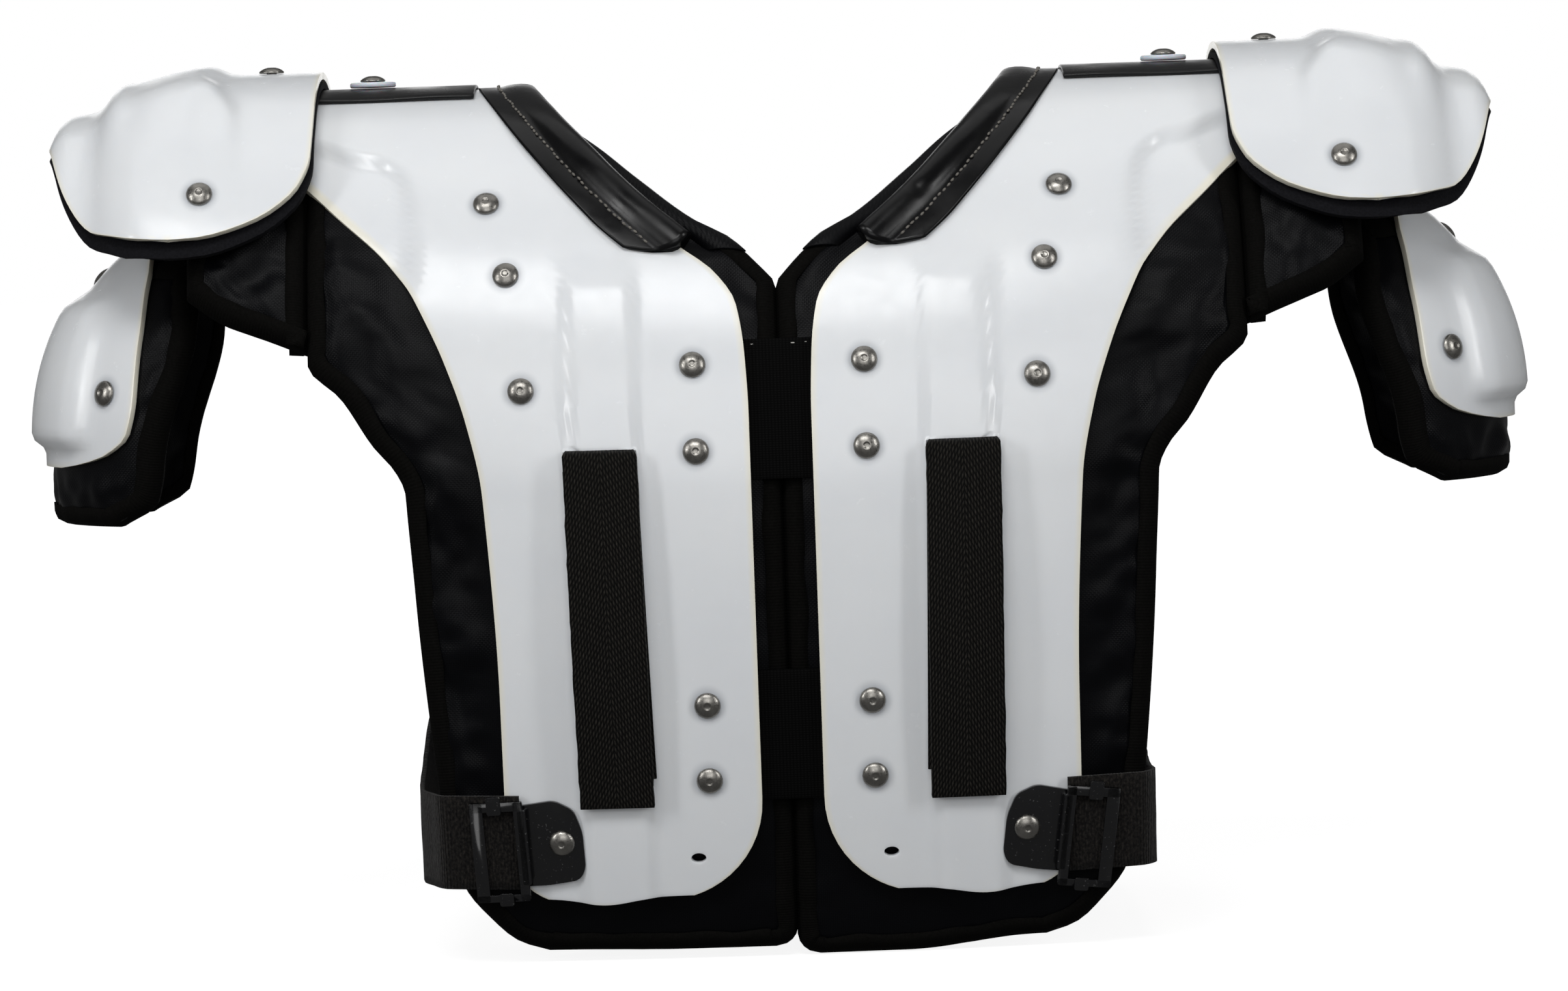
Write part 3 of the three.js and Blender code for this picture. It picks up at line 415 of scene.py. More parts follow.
def plate_relief(x, station):
    """How far the plate's face stands out of the form: the rib, and the field pressed in."""
    z = height_at(station)
    half = RIB_WIDTH / 2
    rib = ease((half - abs(x - RIB_CENTRE)) / RIB_FLANK + 0.5) * ease((RIB_TOP - z) / 16)
    rise = RIB_RISE * rib
    if z > 0.74 * RIDGE_HEIGHT:
        pressed = ease((x - recess_edge(station)) / 9 + 0.5) * ease((z - 0.75 * RIDGE_HEIGHT) / 20)
        pressed *= ease((0.965 * RIDGE_HEIGHT - z) / 8)
        rise -= RECESS * pressed
    return rise


# Meshes and objects


def sheet(columns, rows, place, side=1, uv=None, pin=None):
    """A bmesh grid whose points are moved to place(column, row), with real sizes as its UV map.
    pin(column, row) says how firmly a point is held in the cloth simulation."""
    bm = bmesh.new()
    bmesh.ops.create_grid(bm, x_segments=columns, y_segments=rows, size=0.5)
    layer = bm.loops.layers.uv.new("cloth")
    firm = bm.verts.layers.float.new("pin") if pin else None
    spots = {}
    for vert in bm.verts:
        spots[vert] = (round((vert.co.x + 0.5) * columns), round((vert.co.y + 0.5) * rows))
        point = place(*spots[vert])
        vert.co = Vector((side * point.x, point.y, point.z)) * MM
    for vert in bm.verts if pin else ():
        vert[firm] = pin(*spots[vert])
    if uv:
        for face in bm.faces:
            for loop in face.loops:
                loop[layer].uv = [size * MM for size in uv(*spots[loop.vert])]
    if side < 0:
        bmesh.ops.reverse_faces(bm, faces=bm.faces)
    return bm


def add_piece(name, bm, material, nodes=(), weld=1e-6, recalc=False):
    """Makes an object of a bmesh, which rides on the body and stands for the nodes named."""
    bmesh.ops.remove_doubles(bm, verts=bm.verts, dist=weld)
    if recalc:
        bmesh.ops.recalc_face_normals(bm, faces=bm.faces)
    mesh = bpy.data.meshes.new(name)
    bm.to_mesh(mesh)
    bm.free()
    mesh.polygons.foreach_set("use_smooth", [True] * len(mesh.polygons))
    mesh.materials.append(material)
    piece = bpy.data.objects.new(f"{name}_dressed" if nodes else name, mesh)
    bpy.context.scene.collection.objects.link(piece)
    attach(piece, "root")
    if nodes:
        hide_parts(*nodes)
    return piece


def add_wall(piece, thickness, round_edge, segments=3):
    """Gives a sheet its wall, inward from its face, and rounds the rim."""
    wall = piece.modifiers.new("wall", "SOLIDIFY")
    wall.thickness = thickness * MM
    wall.offset = -1
    wall.use_quality_normals = True
    return round_edges(piece, round_edge, segments)


def round_edges(piece, width, segments):
    """Rounds the sharp edges of a piece."""
    edge = piece.modifiers.new("edge", "BEVEL")
    edge.width = width * MM
    edge.segments = segments
    edge.limit_method = "ANGLE"
    edge.angle_limit = math.radians(50)
    return piece


def join(bm, other):
    """Adds another bmesh to the first one, and frees it."""
    mesh = bpy.data.meshes.new("joined")
    other.to_mesh(mesh)
    other.free()
    bm.from_mesh(mesh)
    bpy.data.meshes.remove(mesh)


def set_share(piece, name, values):
    """Stores a number on each point of a piece, for its material."""
    layer = piece.data.attributes.new(name, "FLOAT", "POINT")
    layer.data.foreach_set("value", values)


def seat(surface, lift, side, turn=0.0):
    """The frame of a small flat patch, lifted off a surface: +Z out and +Y up along it."""
    across = surface(0.5, 0) - surface(-0.5, 0)
    up = surface(0, 0.5) - surface(0, -0.5)
    out = across.cross(up).normalized()
    across.normalize()
    up = out.cross(across)
    middle = surface(0, 0) + out * lift
    rows = Matrix((across, up, out)).transposed().to_4x4()
    rows.translation = middle
    mirror = Matrix.Diagonal((side, 1, 1, 1))
    return Matrix.Scale(MM, 4) @ mirror @ rows @ Matrix.Rotation(turn, 4, "Z")


def seat_on_form(x, station, lift, side, turn=0.0):
    relief = plate_relief(x, station)
    return seat(lambda across, up: form_point(x + across, station + up, relief), lift, side, turn)


def open_hole(bm, centre, along, up, half_width, half_height, power):
    """Opens a hole with the outline of a superellipse, in metres, round a point of a sheet. The
    far side of the arch, more than 60 mm away, stays closed."""

    def reach(point):
        a = abs((point - centre).dot(along)) / half_width
        b = abs((point - centre).dot(up)) / half_height
        return (a**power + b**power) ** (1 / power)

    for _ in range(2):
        reached = 1.25 * half_width + 4 * MM
        near = [face for face in bm.faces if (face.calc_center_median() - centre).length < reached]
        edges = list({edge for face in near for edge in face.edges})
        bmesh.ops.subdivide_edges(bm, edges=edges, cuts=1, use_grid_fill=True)
    inside = []
    for face in bm.faces:
        middle = face.calc_center_median()
        if reach(middle) < 1 and (middle - centre).length < 60 * MM:
            inside.append(face)
    bmesh.ops.delete(bm, geom=inside, context="FACES")
    for vert in bm.verts:
        if vert.is_boundary and (vert.co - centre).length < 1.4 * half_width + 3 * MM:
            scale = reach(vert.co)
            if 0.3 < scale < 3:
                offset = vert.co - centre
                flat = along * offset.dot(along) + up * offset.dot(up)
                vert.co = centre + (offset - flat) + flat / scale


def lathe(bm, profile, matrix, steps=28):
    """Spins a profile of (radius, height) about +Z, in millimetres, and moves it to a seat."""
    verts = [bm.verts.new((radius, 0, height)) for radius, height in profile]
    edges = [bm.edges.new(pair) for pair in zip(verts, verts[1:])]
    made = bmesh.ops.spin(
        bm, geom=verts + edges, cent=(0, 0, 0), axis=(0, 0, 1), dvec=(0, 0, 0), angle=math.tau, steps=steps,
        use_merge=True, use_duplicate=False,
    )
    ring = set(verts) | {item for item in made["geom_last"] if isinstance(item, bmesh.types.BMVert)}
    for edge in edges:
        if edge.is_valid:
            ring |= set(edge.verts)
    linked = set()
    stack = [vert for vert in ring if vert.is_valid]
    while stack:
        vert = stack.pop()
        if vert not in linked:
            linked.add(vert)
            stack += [edge.other_vert(vert) for edge in vert.link_edges]
    bmesh.ops.remove_doubles(bm, verts=list(linked), dist=1e-4)
    bmesh.ops.transform(bm, matrix=matrix, verts=[vert for vert in linked if vert.is_valid])


# Materials


def linear(text):
    """A colour written as sRGB hex, as linear red, green, blue and alpha."""
    parts = [int(text[i : i + 2], 16) / 255 for i in (0, 2, 4)]
    return [c / 12.92 if c <= 0.04045 else ((c + 0.055) / 1.055) ** 2.4 for c in parts] + [1.0]


def add_node(tree, kind, settings=None, links=None):
    """Adds a shader node. settings go to its inputs or else its properties, links to its inputs."""
    item = tree.nodes.new(kind)
    for key, value in (settings or {}).items():
        if isinstance(key, int) or key in item.inputs:
            item.inputs[key].default_value = value
        else:
            setattr(item, key, value)
    for key, socket in (links or {}).items():
        tree.links.new(socket, item.inputs[key])
    return item


def new_material(name, settings):
    """A material with its Principled shader set, and its tree."""
    material = bpy.data.materials.new(name)
    material.use_nodes = True
    tree = material.node_tree
    shader = tree.nodes["Principled BSDF"]
    for key, value in settings.items():
        shader.inputs[key].default_value = value
    return material, tree, shader


def math_node(tree, operation, first, second=None):
    """A Math node on two values or sockets, and its result."""
    item = add_node(tree, "ShaderNodeMath", {"operation": operation})
    for i, value in enumerate((first, second)):
        if value is None:
            continue
        if isinstance(value, (int, float)):
            item.inputs[i].default_value = value
        else:
            tree.links.new(value, item.inputs[i])
    return item.outputs[0]


def mix_colour(tree, factor, first, second):
    """A colour mix of two colours or sockets."""
    item = add_node(tree, "ShaderNodeMix", {"data_type": "RGBA"})
    tree.links.new(factor, item.inputs[0])
    for i, value in ((6, first), (7, second)):
        if isinstance(value, str):
            item.inputs[i].default_value = linear(value)
        else:
            tree.links.new(value, item.inputs[i])
    return item.outputs[2]


def add_bump(tree, shader, height, depth, strength=1.0):
    """Bumps a shader with a height in millimetres."""
    item = add_node(
        tree, "ShaderNodeBump", {"Strength": strength, "Distance": depth * MM}, {"Height": height}
    )
    tree.links.new(item.outputs[0], shader.inputs["Normal"])
    return item


def moulded_polyethylene(rivet_shades):
    """Injection moulded polyethylene: milky, glossy, creamy where the edge is thin, with faint
    flow marks and a soft grey round each rivet, partly the rivet showing through and partly painted
    shade where the rivet head shades the plastic. Its argument holds the rivets' places, and both
    sides, front and back, have the painted shade alike."""
    material, tree, shader = new_material(
        "moulded_polyethylene",
        {"IOR": 1.5, "Subsurface Weight": 0.25, "Subsurface Scale": 0.004, "Specular IOR Level": 0.45},
    )
    shader.inputs["Subsurface Radius"].default_value = (1.0, 0.92, 0.85)
    place = add_node(tree, "ShaderNodeTexCoord").outputs["Object"]
    clouds = add_node(
        tree, "ShaderNodeTexNoise", {"Scale": 22.0, "Detail": 3.0, "Roughness": 0.5}, {"Vector": place}
    )
    base = mix_colour(tree, clouds.outputs["Fac"], "dde0e4", "e7e9ea")
    rim = add_node(tree, "ShaderNodeAttribute", {"attribute_name": "rim"}).outputs["Fac"]
    folded = add_node(tree, "ShaderNodeVectorMath", {"operation": "ABSOLUTE"}, {0: place}).outputs[0]
    # Painted shade round each rivet, darkest next to it, mixed towards grey
    grey = 0.0
    for shade_centre in rivet_shades:
        span = add_node(tree, "ShaderNodeVectorMath", {"operation": "DISTANCE"}, {0: folded})
        span.inputs[1].default_value = [abs(length) for length in shade_centre]
        dark = add_node(
            tree, "ShaderNodeMapRange",
            {"interpolation_type": "SMOOTHSTEP", "From Min": RIVET_SHADE_SPAN[0] * MM, "From Max": RIVET_SHADE_SPAN[1] * MM,
             "To Min": 0.5, "To Max": 0.0},
            {"Value": span.outputs["Value"]},
        )
        grey = math_node(tree, "MAXIMUM", grey, dark.outputs[0])
    shaded = mix_colour(tree, grey, base, "8d939c")
    colour = mix_colour(tree, rim, shaded, "eae6d6")
    tree.links.new(colour, shader.inputs["Base Color"])
    ripple = add_node(
        tree, "ShaderNodeTexNoise", {"Scale": 60.0, "Detail": 2.0, "Roughness": 0.4}, {"Vector": place}
    )
    add_bump(tree, shader, ripple.outputs["Fac"], 0.12, 0.5)
    scuff = add_node(
        tree, "ShaderNodeTexNoise", {"Scale": 140.0, "Detail": 5.0, "Roughness": 0.7}, {"Vector": place}
    )
    rough = add_node(
        tree, "ShaderNodeMapRange", {"From Min": 0.35, "From Max": 0.75, "To Min": 0.16, "To Max": 0.3},
        {"Value": scuff.outputs["Fac"]},
    )
    tree.links.new(rough.outputs[0], shader.inputs["Roughness"])
    return material


def cloth_uv(tree):
    """The two lengths of a piece's own UV map, in metres."""
    uv = add_node(tree, "ShaderNodeUVMap", {"uv_map": "cloth"}).outputs[0]
    parts = add_node(tree, "ShaderNodeSeparateXYZ", links={0: uv})
    return uv, parts.outputs[0], parts.outputs[1]


def ribs(tree, length, pitch):
    """A rounded wave along a length, 0 to 1, one for each pitch in millimetres."""
    turn = math_node(tree, "MULTIPLY", length, math.pi / (pitch * MM))
    return math_node(tree, "ABSOLUTE", math_node(tree, "SINE", turn))


def oxford_nylon():
    """Coated nylon oxford: a plain weave of fine shiny yarns, drawn at a pitch that just shows."""
    pitch = 0.8
    material, tree, shader = new_material(
        "oxford_nylon",
        {"Roughness": 0.38, "Specular IOR Level": 0.08, "Sheen Weight": 0.01, "Sheen Roughness": 0.4},
    )
    _, u, v = cloth_uv(tree)
    warp = ribs(tree, u, pitch)
    weft = ribs(tree, v, pitch)
    waves = [
        math_node(tree, "SINE", math_node(tree, "MULTIPLY", length, math.pi / (pitch * MM)))
        for length in (u, v)
    ]
    over = math_node(tree, "MULTIPLY", *waves)
    side = math_node(tree, "GREATER_THAN", over, 0.0)
    first = math_node(tree, "MULTIPLY", warp, side)
    second = math_node(tree, "MULTIPLY", weft, math_node(tree, "SUBTRACT", 1.0, side))
    weave = math_node(tree, "ADD", first, second)
    place = add_node(tree, "ShaderNodeTexCoord").outputs["Object"]
    cloud = add_node(
        tree, "ShaderNodeTexNoise", {"Scale": 14.0, "Detail": 3.0, "Roughness": 0.55}, {"Vector": place}
    )
    tone = math_node(tree, "MULTIPLY", weave, cloud.outputs["Fac"])
    tree.links.new(mix_colour(tree, tone, "020203", "0c0d10"), shader.inputs["Base Color"])
    add_bump(tree, shader, weave, 0.16, 0.3)
    return material


def bias_tape():
    """Woven binding tape: matt, a shade browner than the nylon, with a fine rib across it."""
    material, tree, shader = new_material("bias_tape", {"Roughness": 0.9, "Specular IOR Level": 0.05})
    _, _, v = cloth_uv(tree)
    rib = ribs(tree, v, 1.1)
    place = add_node(tree, "ShaderNodeTexCoord").outputs["Object"]
    lint = add_node(tree, "ShaderNodeTexNoise", {"Scale": 900.0, "Detail": 2.0}, {"Vector": place})
    tree.links.new(mix_colour(tree, lint.outputs["Fac"], "040403", "0e0d0c"), shader.inputs["Base Color"])
    add_bump(tree, shader, rib, 0.25, 0.5)
    return material


def herringbone_webbing():
    """Woven polypropylene webbing: chevrons of short floats that meet in its middle, the floats painted
    lighter than the black yarn as a painted highlight.
    """
    material, tree, shader = new_material(
        "herringbone_webbing", {"Roughness": 0.7, "Specular IOR Level": 0.09, "Sheen Weight": 0.01}
    )
    _, u, v = cloth_uv(tree)
    across = math_node(tree, "ABSOLUTE", u)
    slant = math_node(tree, "ADD", v, math_node(tree, "MULTIPLY", across, 1.75))
    stripe = ribs(tree, slant, 2.9)
    grain = ribs(tree, across, 1.25)
    floats = math_node(tree, "MULTIPLY", stripe, grain)
    lift = math_node(tree, "POWER", floats, 1.5)
    place = add_node(tree, "ShaderNodeTexCoord").outputs["Object"]
    lint = add_node(tree, "ShaderNodeTexNoise", {"Scale": 700.0, "Detail": 2.0}, {"Vector": place})
    # The floats are painted lighter than the black webbing: a painted highlight on the yarns, in the
    # pattern of the weave
    tone = math_node(tree, "MULTIPLY", lift, lint.outputs["Fac"])
    tree.links.new(mix_colour(tree, tone, "010101", "3e3b36"), shader.inputs["Base Color"])
    add_bump(tree, shader, floats, 0.7, 0.8)
    return material


def woven_strap():
    """Tightly woven flat strap: matt and nearly plain, with a fine grain of crossed ribs."""
    material, tree, shader = new_material("woven_strap", {"Roughness": 0.85, "Specular IOR Level": 0.04})
    _, u, v = cloth_uv(tree)
    rib = math_node(tree, "MULTIPLY", ribs(tree, u, 1.4), ribs(tree, v, 1.0))
    tree.links.new(mix_colour(tree, rib, "030303", "0c0c0c"), shader.inputs["Base Color"])
    add_bump(tree, shader, rib, 0.25, 0.5)
    return material


def knitted_elastic():
    """Knitted elastic: fuzzy, with ribs along it and grey brown flecks where the rubber shows."""
    material, tree, shader = new_material(
        "knitted_elastic", {"Roughness": 0.95, "Specular IOR Level": 0.1, "Sheen Weight": 0.08}
    )
    uv, u, v = cloth_uv(tree)
    fleck = add_node(
        tree, "ShaderNodeTexNoise", {"Scale": 620.0, "Detail": 3.0, "Roughness": 0.7}, {"Vector": uv}
    )
    cells = add_node(tree, "ShaderNodeTexVoronoi", {"Scale": 750.0}, {"Vector": uv})
    rib = ribs(tree, v, 1.8)
    spots = add_node(
        tree, "ShaderNodeMapRange", {"From Min": 0.42, "From Max": 0.7}, {"Value": fleck.outputs["Fac"]}
    ).outputs[0]
    ribbed = math_node(tree, "ADD", math_node(tree, "MULTIPLY", rib, 0.5), 0.5)
    tone = math_node(tree, "MULTIPLY", spots, ribbed)
    tree.links.new(mix_colour(tree, tone, "070606", "2a2724"), shader.inputs["Base Color"])
    add_bump(tree, shader, math_node(tree, "ADD", rib, cells.outputs["Distance"]), 0.4, 0.6)
    return material


def glossy_vinyl():
    """Vinyl coated edging: smooth and glossy, with a very soft grain and long highlights."""
    material, tree, shader = new_material(
        "glossy_vinyl", {"Base Color": linear("050506"), "Specular IOR Level": 0.26}
    )
    place = add_node(tree, "ShaderNodeTexCoord").outputs["Object"]
    grain = add_node(tree, "ShaderNodeTexNoise", {"Scale": 260.0, "Detail": 3.0}, {"Vector": place})
    add_bump(tree, shader, grain.outputs["Fac"], 0.12, 0.35)
    smear = add_node(tree, "ShaderNodeTexNoise", {"Scale": 45.0, "Detail": 3.0}, {"Vector": place})
    rough = add_node(
        tree, "ShaderNodeMapRange", {"From Min": 0.3, "From Max": 0.7, "To Min": 0.2, "To Max": 0.42},
        {"Value": smear.outputs["Fac"]},
    )
    tree.links.new(rough.outputs[0], shader.inputs["Roughness"])
    return material


def stamped_steel():
    """Nickel plated steel: bright, unevenly worn, with a fine grit that breaks up its shine."""
    material, tree, shader = new_material("stamped_steel", {"Metallic": 1.0})
    place = add_node(tree, "ShaderNodeTexCoord").outputs["Object"]
    grit = add_node(tree, "ShaderNodeTexNoise", {"Scale": 1500.0, "Detail": 3.0}, {"Vector": place})
    worn = add_node(tree, "ShaderNodeTexNoise", {"Scale": 260.0, "Detail": 2.0}, {"Vector": place})
    tree.links.new(mix_colour(tree, worn.outputs["Fac"], "6d6b67", "a8a59f"), shader.inputs["Base Color"])
    rough = add_node(
        tree, "ShaderNodeMapRange", {"From Min": 0.3, "From Max": 0.7, "To Min": 0.24, "To Max": 0.42},
        {"Value": grit.outputs["Fac"]},
    )
    tree.links.new(rough.outputs[0], shader.inputs["Roughness"])
    add_bump(tree, shader, grit.outputs["Fac"], 0.04, 0.5)
    return material


def enamelled_steel():
    """Stamped steel in black stove enamel: glossy, worn to bare metal in small flecks."""
    material, tree, shader = new_material(
        "enamelled_steel", {"Roughness": 0.2, "Coat Weight": 0.4, "Coat Roughness": 0.12}
    )
    place = add_node(tree, "ShaderNodeTexCoord").outputs["Object"]
    peel = add_node(tree, "ShaderNodeTexNoise", {"Scale": 420.0, "Detail": 2.0}, {"Vector": place})
    add_bump(tree, shader, peel.outputs["Fac"], 0.08, 0.4)
    chips = add_node(tree, "ShaderNodeTexNoise", {"Scale": 900.0, "Detail": 4.0}, {"Vector": place})
    spots = add_node(
        tree, "ShaderNodeMapRange", {"From Min": 0.66, "From Max": 0.72}, {"Value": chips.outputs["Fac"]}
    ).outputs[0]
    tree.links.new(mix_colour(tree, spots, "08080a", "4a4a4a"), shader.inputs["Base Color"])
    return material


def milky_nylon():
    """Turned nylon washer: cloudy and slightly blue, soft at its edge."""
    material, tree, shader = new_material(
        "milky_nylon", {"Roughness": 0.35, "Subsurface Weight": 0.5, "Subsurface Scale": 0.004}
    )
    place = add_node(tree, "ShaderNodeTexCoord").outputs["Object"]
    cloud = add_node(tree, "ShaderNodeTexNoise", {"Scale": 160.0, "Detail": 2.0}, {"Vector": place})
    tree.links.new(mix_colour(tree, cloud.outputs["Fac"], "b9c6d4", "dbe3ea"), shader.inputs["Base Color"])
    return material


def sewing_thread(name, low, high):
    """Twisted sewing thread, with a dull shine on its strands."""
    material, tree, shader = new_material(name, {"Roughness": 0.6, "Specular IOR Level": 0.3})
    place = add_node(tree, "ShaderNodeTexCoord").outputs["Object"]
    twist = add_node(tree, "ShaderNodeTexNoise", {"Scale": 1100.0, "Detail": 2.0}, {"Vector": place})
    tree.links.new(mix_colour(tree, twist.outputs["Fac"], low, high), shader.inputs["Base Color"])
    return material


def lining_foam():
    """Fabric faced foam sheet: matt black with a fine open grain."""
    material, tree, shader = new_material("lining_foam", {"Roughness": 0.9, "Specular IOR Level": 0.15})
    place = add_node(tree, "ShaderNodeTexCoord").outputs["Object"]
    grain = add_node(tree, "ShaderNodeTexVoronoi", {"Scale": 900.0}, {"Vector": place})
    colour = mix_colour(tree, grain.outputs["Distance"], "060609", "121216")
    tree.links.new(colour, shader.inputs["Base Color"])
    add_bump(tree, shader, grain.outputs["Distance"], 0.3, 0.5)
    return material


NYLON = oxford_nylon()
TAPE_CLOTH = bias_tape()
HERRINGBONE = herringbone_webbing()
STRAP_CLOTH = woven_strap()
ELASTIC_CLOTH = knitted_elastic()
VINYL = glossy_vinyl()
STEEL = stamped_steel()
ENAMEL = enamelled_steel()
WASHER_NYLON = milky_nylon()
GREY_THREAD = sewing_thread("grey_thread", "3a3835", "86827b")
WHITE_THREAD = sewing_thread("white_thread", "8b8984", "c9c7c2")
FOAM = lining_foam()


# Hard shells


def rim_share(distance, reach=2.2):
    return clamp(1 - distance / reach) ** 1.5


def make_plate(side, word):
    """The white arch, from the front hem over the shoulder to the back hem."""
    hem = station_at(PLATE_HEM)
    insets = tuple(INNER_CORNER * (1 - math.cos(math.pi / 2 * i / 12)) for i in range(2, 13))
    stations = spread(hem, 2 * RIDGE - hem, 4.2, insets)
    columns = spread(0, 100, 2.5)

    def edges(station):
        above = height_at(station) - PLATE_HEM
        return (
            neckline(station) + corner_inset(above + PLATE_CORNER_START, INNER_CORNER),
            arm_edge(station) - corner_inset(above + PLATE_CORNER_START, OUTER_CORNER),
        )

    def spot(column, row):
        inner, outer = edges(stations[row])
        x = between(inner, outer, columns[column] / 100)
        near_hem = ease(1 - (to_front(stations[row]) - hem) / 30)
        sag = HEM_WAVE * near_hem * bump(x, RIB_CENTRE + 6, 15)
        return x, stations[row] - math.copysign(sag, RIDGE - stations[row])

    def place(column, row):
        x, station = spot(column, row)
        return form_point(x, station, plate_relief(x, station))

    bm = sheet(len(columns) - 1, len(stations) - 1, place, side)
    for hole, power in ((SLOT, 8), (DRAIN, 2)):
        patch = seat_on_form(hole["x"], station_at(hole["z"]), 0, side)
        along, up, centre = (patch.col[i].xyz for i in (0, 1, 3))
        half_width, half_height = hole["width"] / 2 * MM, hole["height"] / 2 * MM
        open_hole(bm, centre, along.normalized(), up.normalized(), half_width, half_height, power)
    piece = add_piece(f"plate_{word}", bm, WHITE, (f"plate_{word}",))
    rims = []
    for vert in piece.data.vertices:
        x, z = abs(vert.co.x) / MM, vert.co.z / MM
        station = station_at(clamp(z, 0, RIDGE_HEIGHT - 0.5))
        station = 2 * RIDGE - station if vert.co.y > 0 else station
        inner, outer = edges(min(max(station, hem), 2 * RIDGE - hem))
        rims.append(rim_share(max(0, min(x - inner, outer - x, z - PLATE_HEM + 4))))
    set_share(piece, "rim", rims)
    return add_wall(piece, PLATE_WALL, 0.8)


def epaulet_point(x, station, out, boss=1.0):
    """A point of the epaulet's saddle, out from its own outer face."""
    across = clamp((x - EPAULET_INNER) / (EPAULET_OUTER - EPAULET_INNER))
    away = abs(station - RIDGE)
    shift = -0.09 * ease(away / 70) + 0.07 * bump(away, 34, 22)
    fold = ease(across / 0.62) if across < 0.62 else 1.0
    rise = read(EPAULET_SECTION, "across", clamp(across - shift * bump(across, 0.36, 0.2)), "rise")
    hump = ease((across + shift - 0.3) / 0.09) * (1 - ease((across - 0.5) / 0.3))
    rise += 2.5 * boss * hump * ease((away - 25) / 30)
    if rise > 0:
        rise *= boss * (1 - ease((away - 60) / 55))
    step = 2.2 * boss * bump(across, 0.73, 0.05) * (1 - ease((away - 50) / 45))
    crown = 2.5 * boss * fold * bump(across, 0.5, 0.24) * ease(away / 60)
    flange = GAP + WEBBING + GAP + LINING + 1.8 + SHELL_WALL
    return form_point(x, station, flange + rise + step + crown + out)


def saddle(side, out, columns, margin=0.0, boss=1.0):
    """A sheet over the shoulder with the epaulet's outline, larger by a margin, most at its hems."""
    start = station_at(EPAULET_EDGES[0]["level"] * RIDGE_HEIGHT)
    tip = tuple(34 * (1 - math.cos(math.pi / 2 * i / 12)) for i in range(1, 13))
    stations = spread(start, 2 * RIDGE - start, 4.2, tip)
    width = EPAULET_OUTER - EPAULET_INNER
    middle = len(stations) // 2

    def spot(column, row):
        station = stations[row]
        level = height_at(station) / RIDGE_HEIGHT
        low = EPAULET_INNER + width * read(EPAULET_EDGES, "level", level, "inner")
        high = EPAULET_INNER + width * read(EPAULET_EDGES, "level", level, "outer")
        share = columns[column] / 100
        grow = margin * clamp(1 - (height_at(station) - EPAULET_HEM) / 50, 0.15, 1)
        x = between(low - 0.5 * grow, high + 0.25 * grow, share)
        reach = grow if row < middle else -grow
        return x, station - reach * (1 - ease(1 - abs(row - middle) / middle))

    def place(column, row):
        return epaulet_point(*spot(column, row), out, boss)

    return sheet(len(columns) - 1, len(stations) - 1, place, side, spot)


def make_epaulet(side, word):
    columns = spread(0, 100, 2.2, (1, 2.2, 4))
    bm = saddle(side, 0, columns)
    piece = add_piece(f"epaulet_{word}", bm, WHITE, (f"epaulet_{word}",))
    set_share(piece, "rim", [rim_share(distance, 2.4) for distance in edge_distances(piece)])
    add_wall(piece, SHELL_WALL, 1.2)
    lining = saddle(side, -(SHELL_WALL + 1.5), spread(0, 100, 3.5), margin=5.5, boss=0.4)
    name = f"epaulet_lining_{word}"
    foam = add_piece(name, lining, FOAM, (name,))
    return piece, add_wall(foam, LINING, 0.8, 2)


def edge_distances(piece):
    """Distance of each point from the open edge of a sheet, in millimetres."""
    bm = bmesh.new()
    bm.from_mesh(piece.data)
    rim = [vert.co.copy() for vert in bm.verts if vert.is_boundary]
    bm.free()
    tree = KDTree(len(rim))
    for i, point in enumerate(rim):
        tree.insert(point, i)
    tree.balance()
    return [tree.find(vert.co)[2] / MM for vert in piece.data.vertices]


def epaulet_seat(x, station, lift, side):
    return seat(lambda across, up: epaulet_point(x + across, station + up, 0), lift, side)


def cup_point(yaw, z, out, relief=0.0):
    """A point of the cup: yaw in degrees from straight ahead, a height, and a distance out."""
    reach, depth, crown = (axis + out + relief for axis in CUP_AXES)
    up = max(0.0, z - CUP_CENTRE[2]) / crown
    spread_out = math.sqrt(max(0.0, 1 - up * up))
    angle = math.radians(yaw)
    x = CUP_CENTRE[0] + math.sin(angle) * reach * spread_out
    return Vector((x, -math.cos(angle) * depth * spread_out, z))


def cup_relief(yaw, z):
    """The raised boss in the middle of the cup, over the low flange round it."""
    turn = abs(yaw - 90) / 42
    height = (z - CUP_HEM) / (CUP_TOP - CUP_HEM)
    boss = ease((1 - turn) / 0.28 + 0.4) * ease((height - 0.06) / 0.07) * ease((0.76 - height) / 0.1)
    return 6.0 * boss - 3.0


def cup_sheet(side, hem, top, table, columns, place):
    arc = tuple(18 * (1 - math.cos(math.pi / 2 * i / 8)) for i in range(1, 9))
    heights = spread(hem, top, 3.6, arc)

    def spot(column, row):
        z = heights[row]
        yaw = read(table, "height", (z - hem) / (top - hem), "yaw")
        return between(yaw, 180 - yaw, columns[column] / 100), z

    def uv(column, row):
        yaw, z = spot(column, row)
        return math.radians(yaw - 90) * CUP_AXES[0], z

    return sheet(len(columns) - 1, len(heights) - 1, lambda c, r: place(*spot(c, r)), side, uv)


def make_cup(side, word):
    columns = spread(0, 100, 2, (0.7, 1.6, 3))
    bm = cup_sheet(
        side, CUP_HEM, CUP_TOP, CUP_EDGE, columns, lambda yaw, z: cup_point(yaw, z, 0, cup_relief(yaw, z))
    )
    piece = add_piece(f"cup_{word}", bm, WHITE, (f"cup_{word}",))
    set_share(piece, "rim", [rim_share(distance, 2.4) for distance in edge_distances(piece)])
    return add_wall(piece, SHELL_WALL, 1.2)


def cup_seat(yaw, z, lift, side):
    per_mm = 180 / math.pi / CUP_AXES[0]
    return seat(
        lambda across, up: cup_point(yaw + across * per_mm, z + up, 0, cup_relief(yaw, z)), lift, side
    )


# Pads


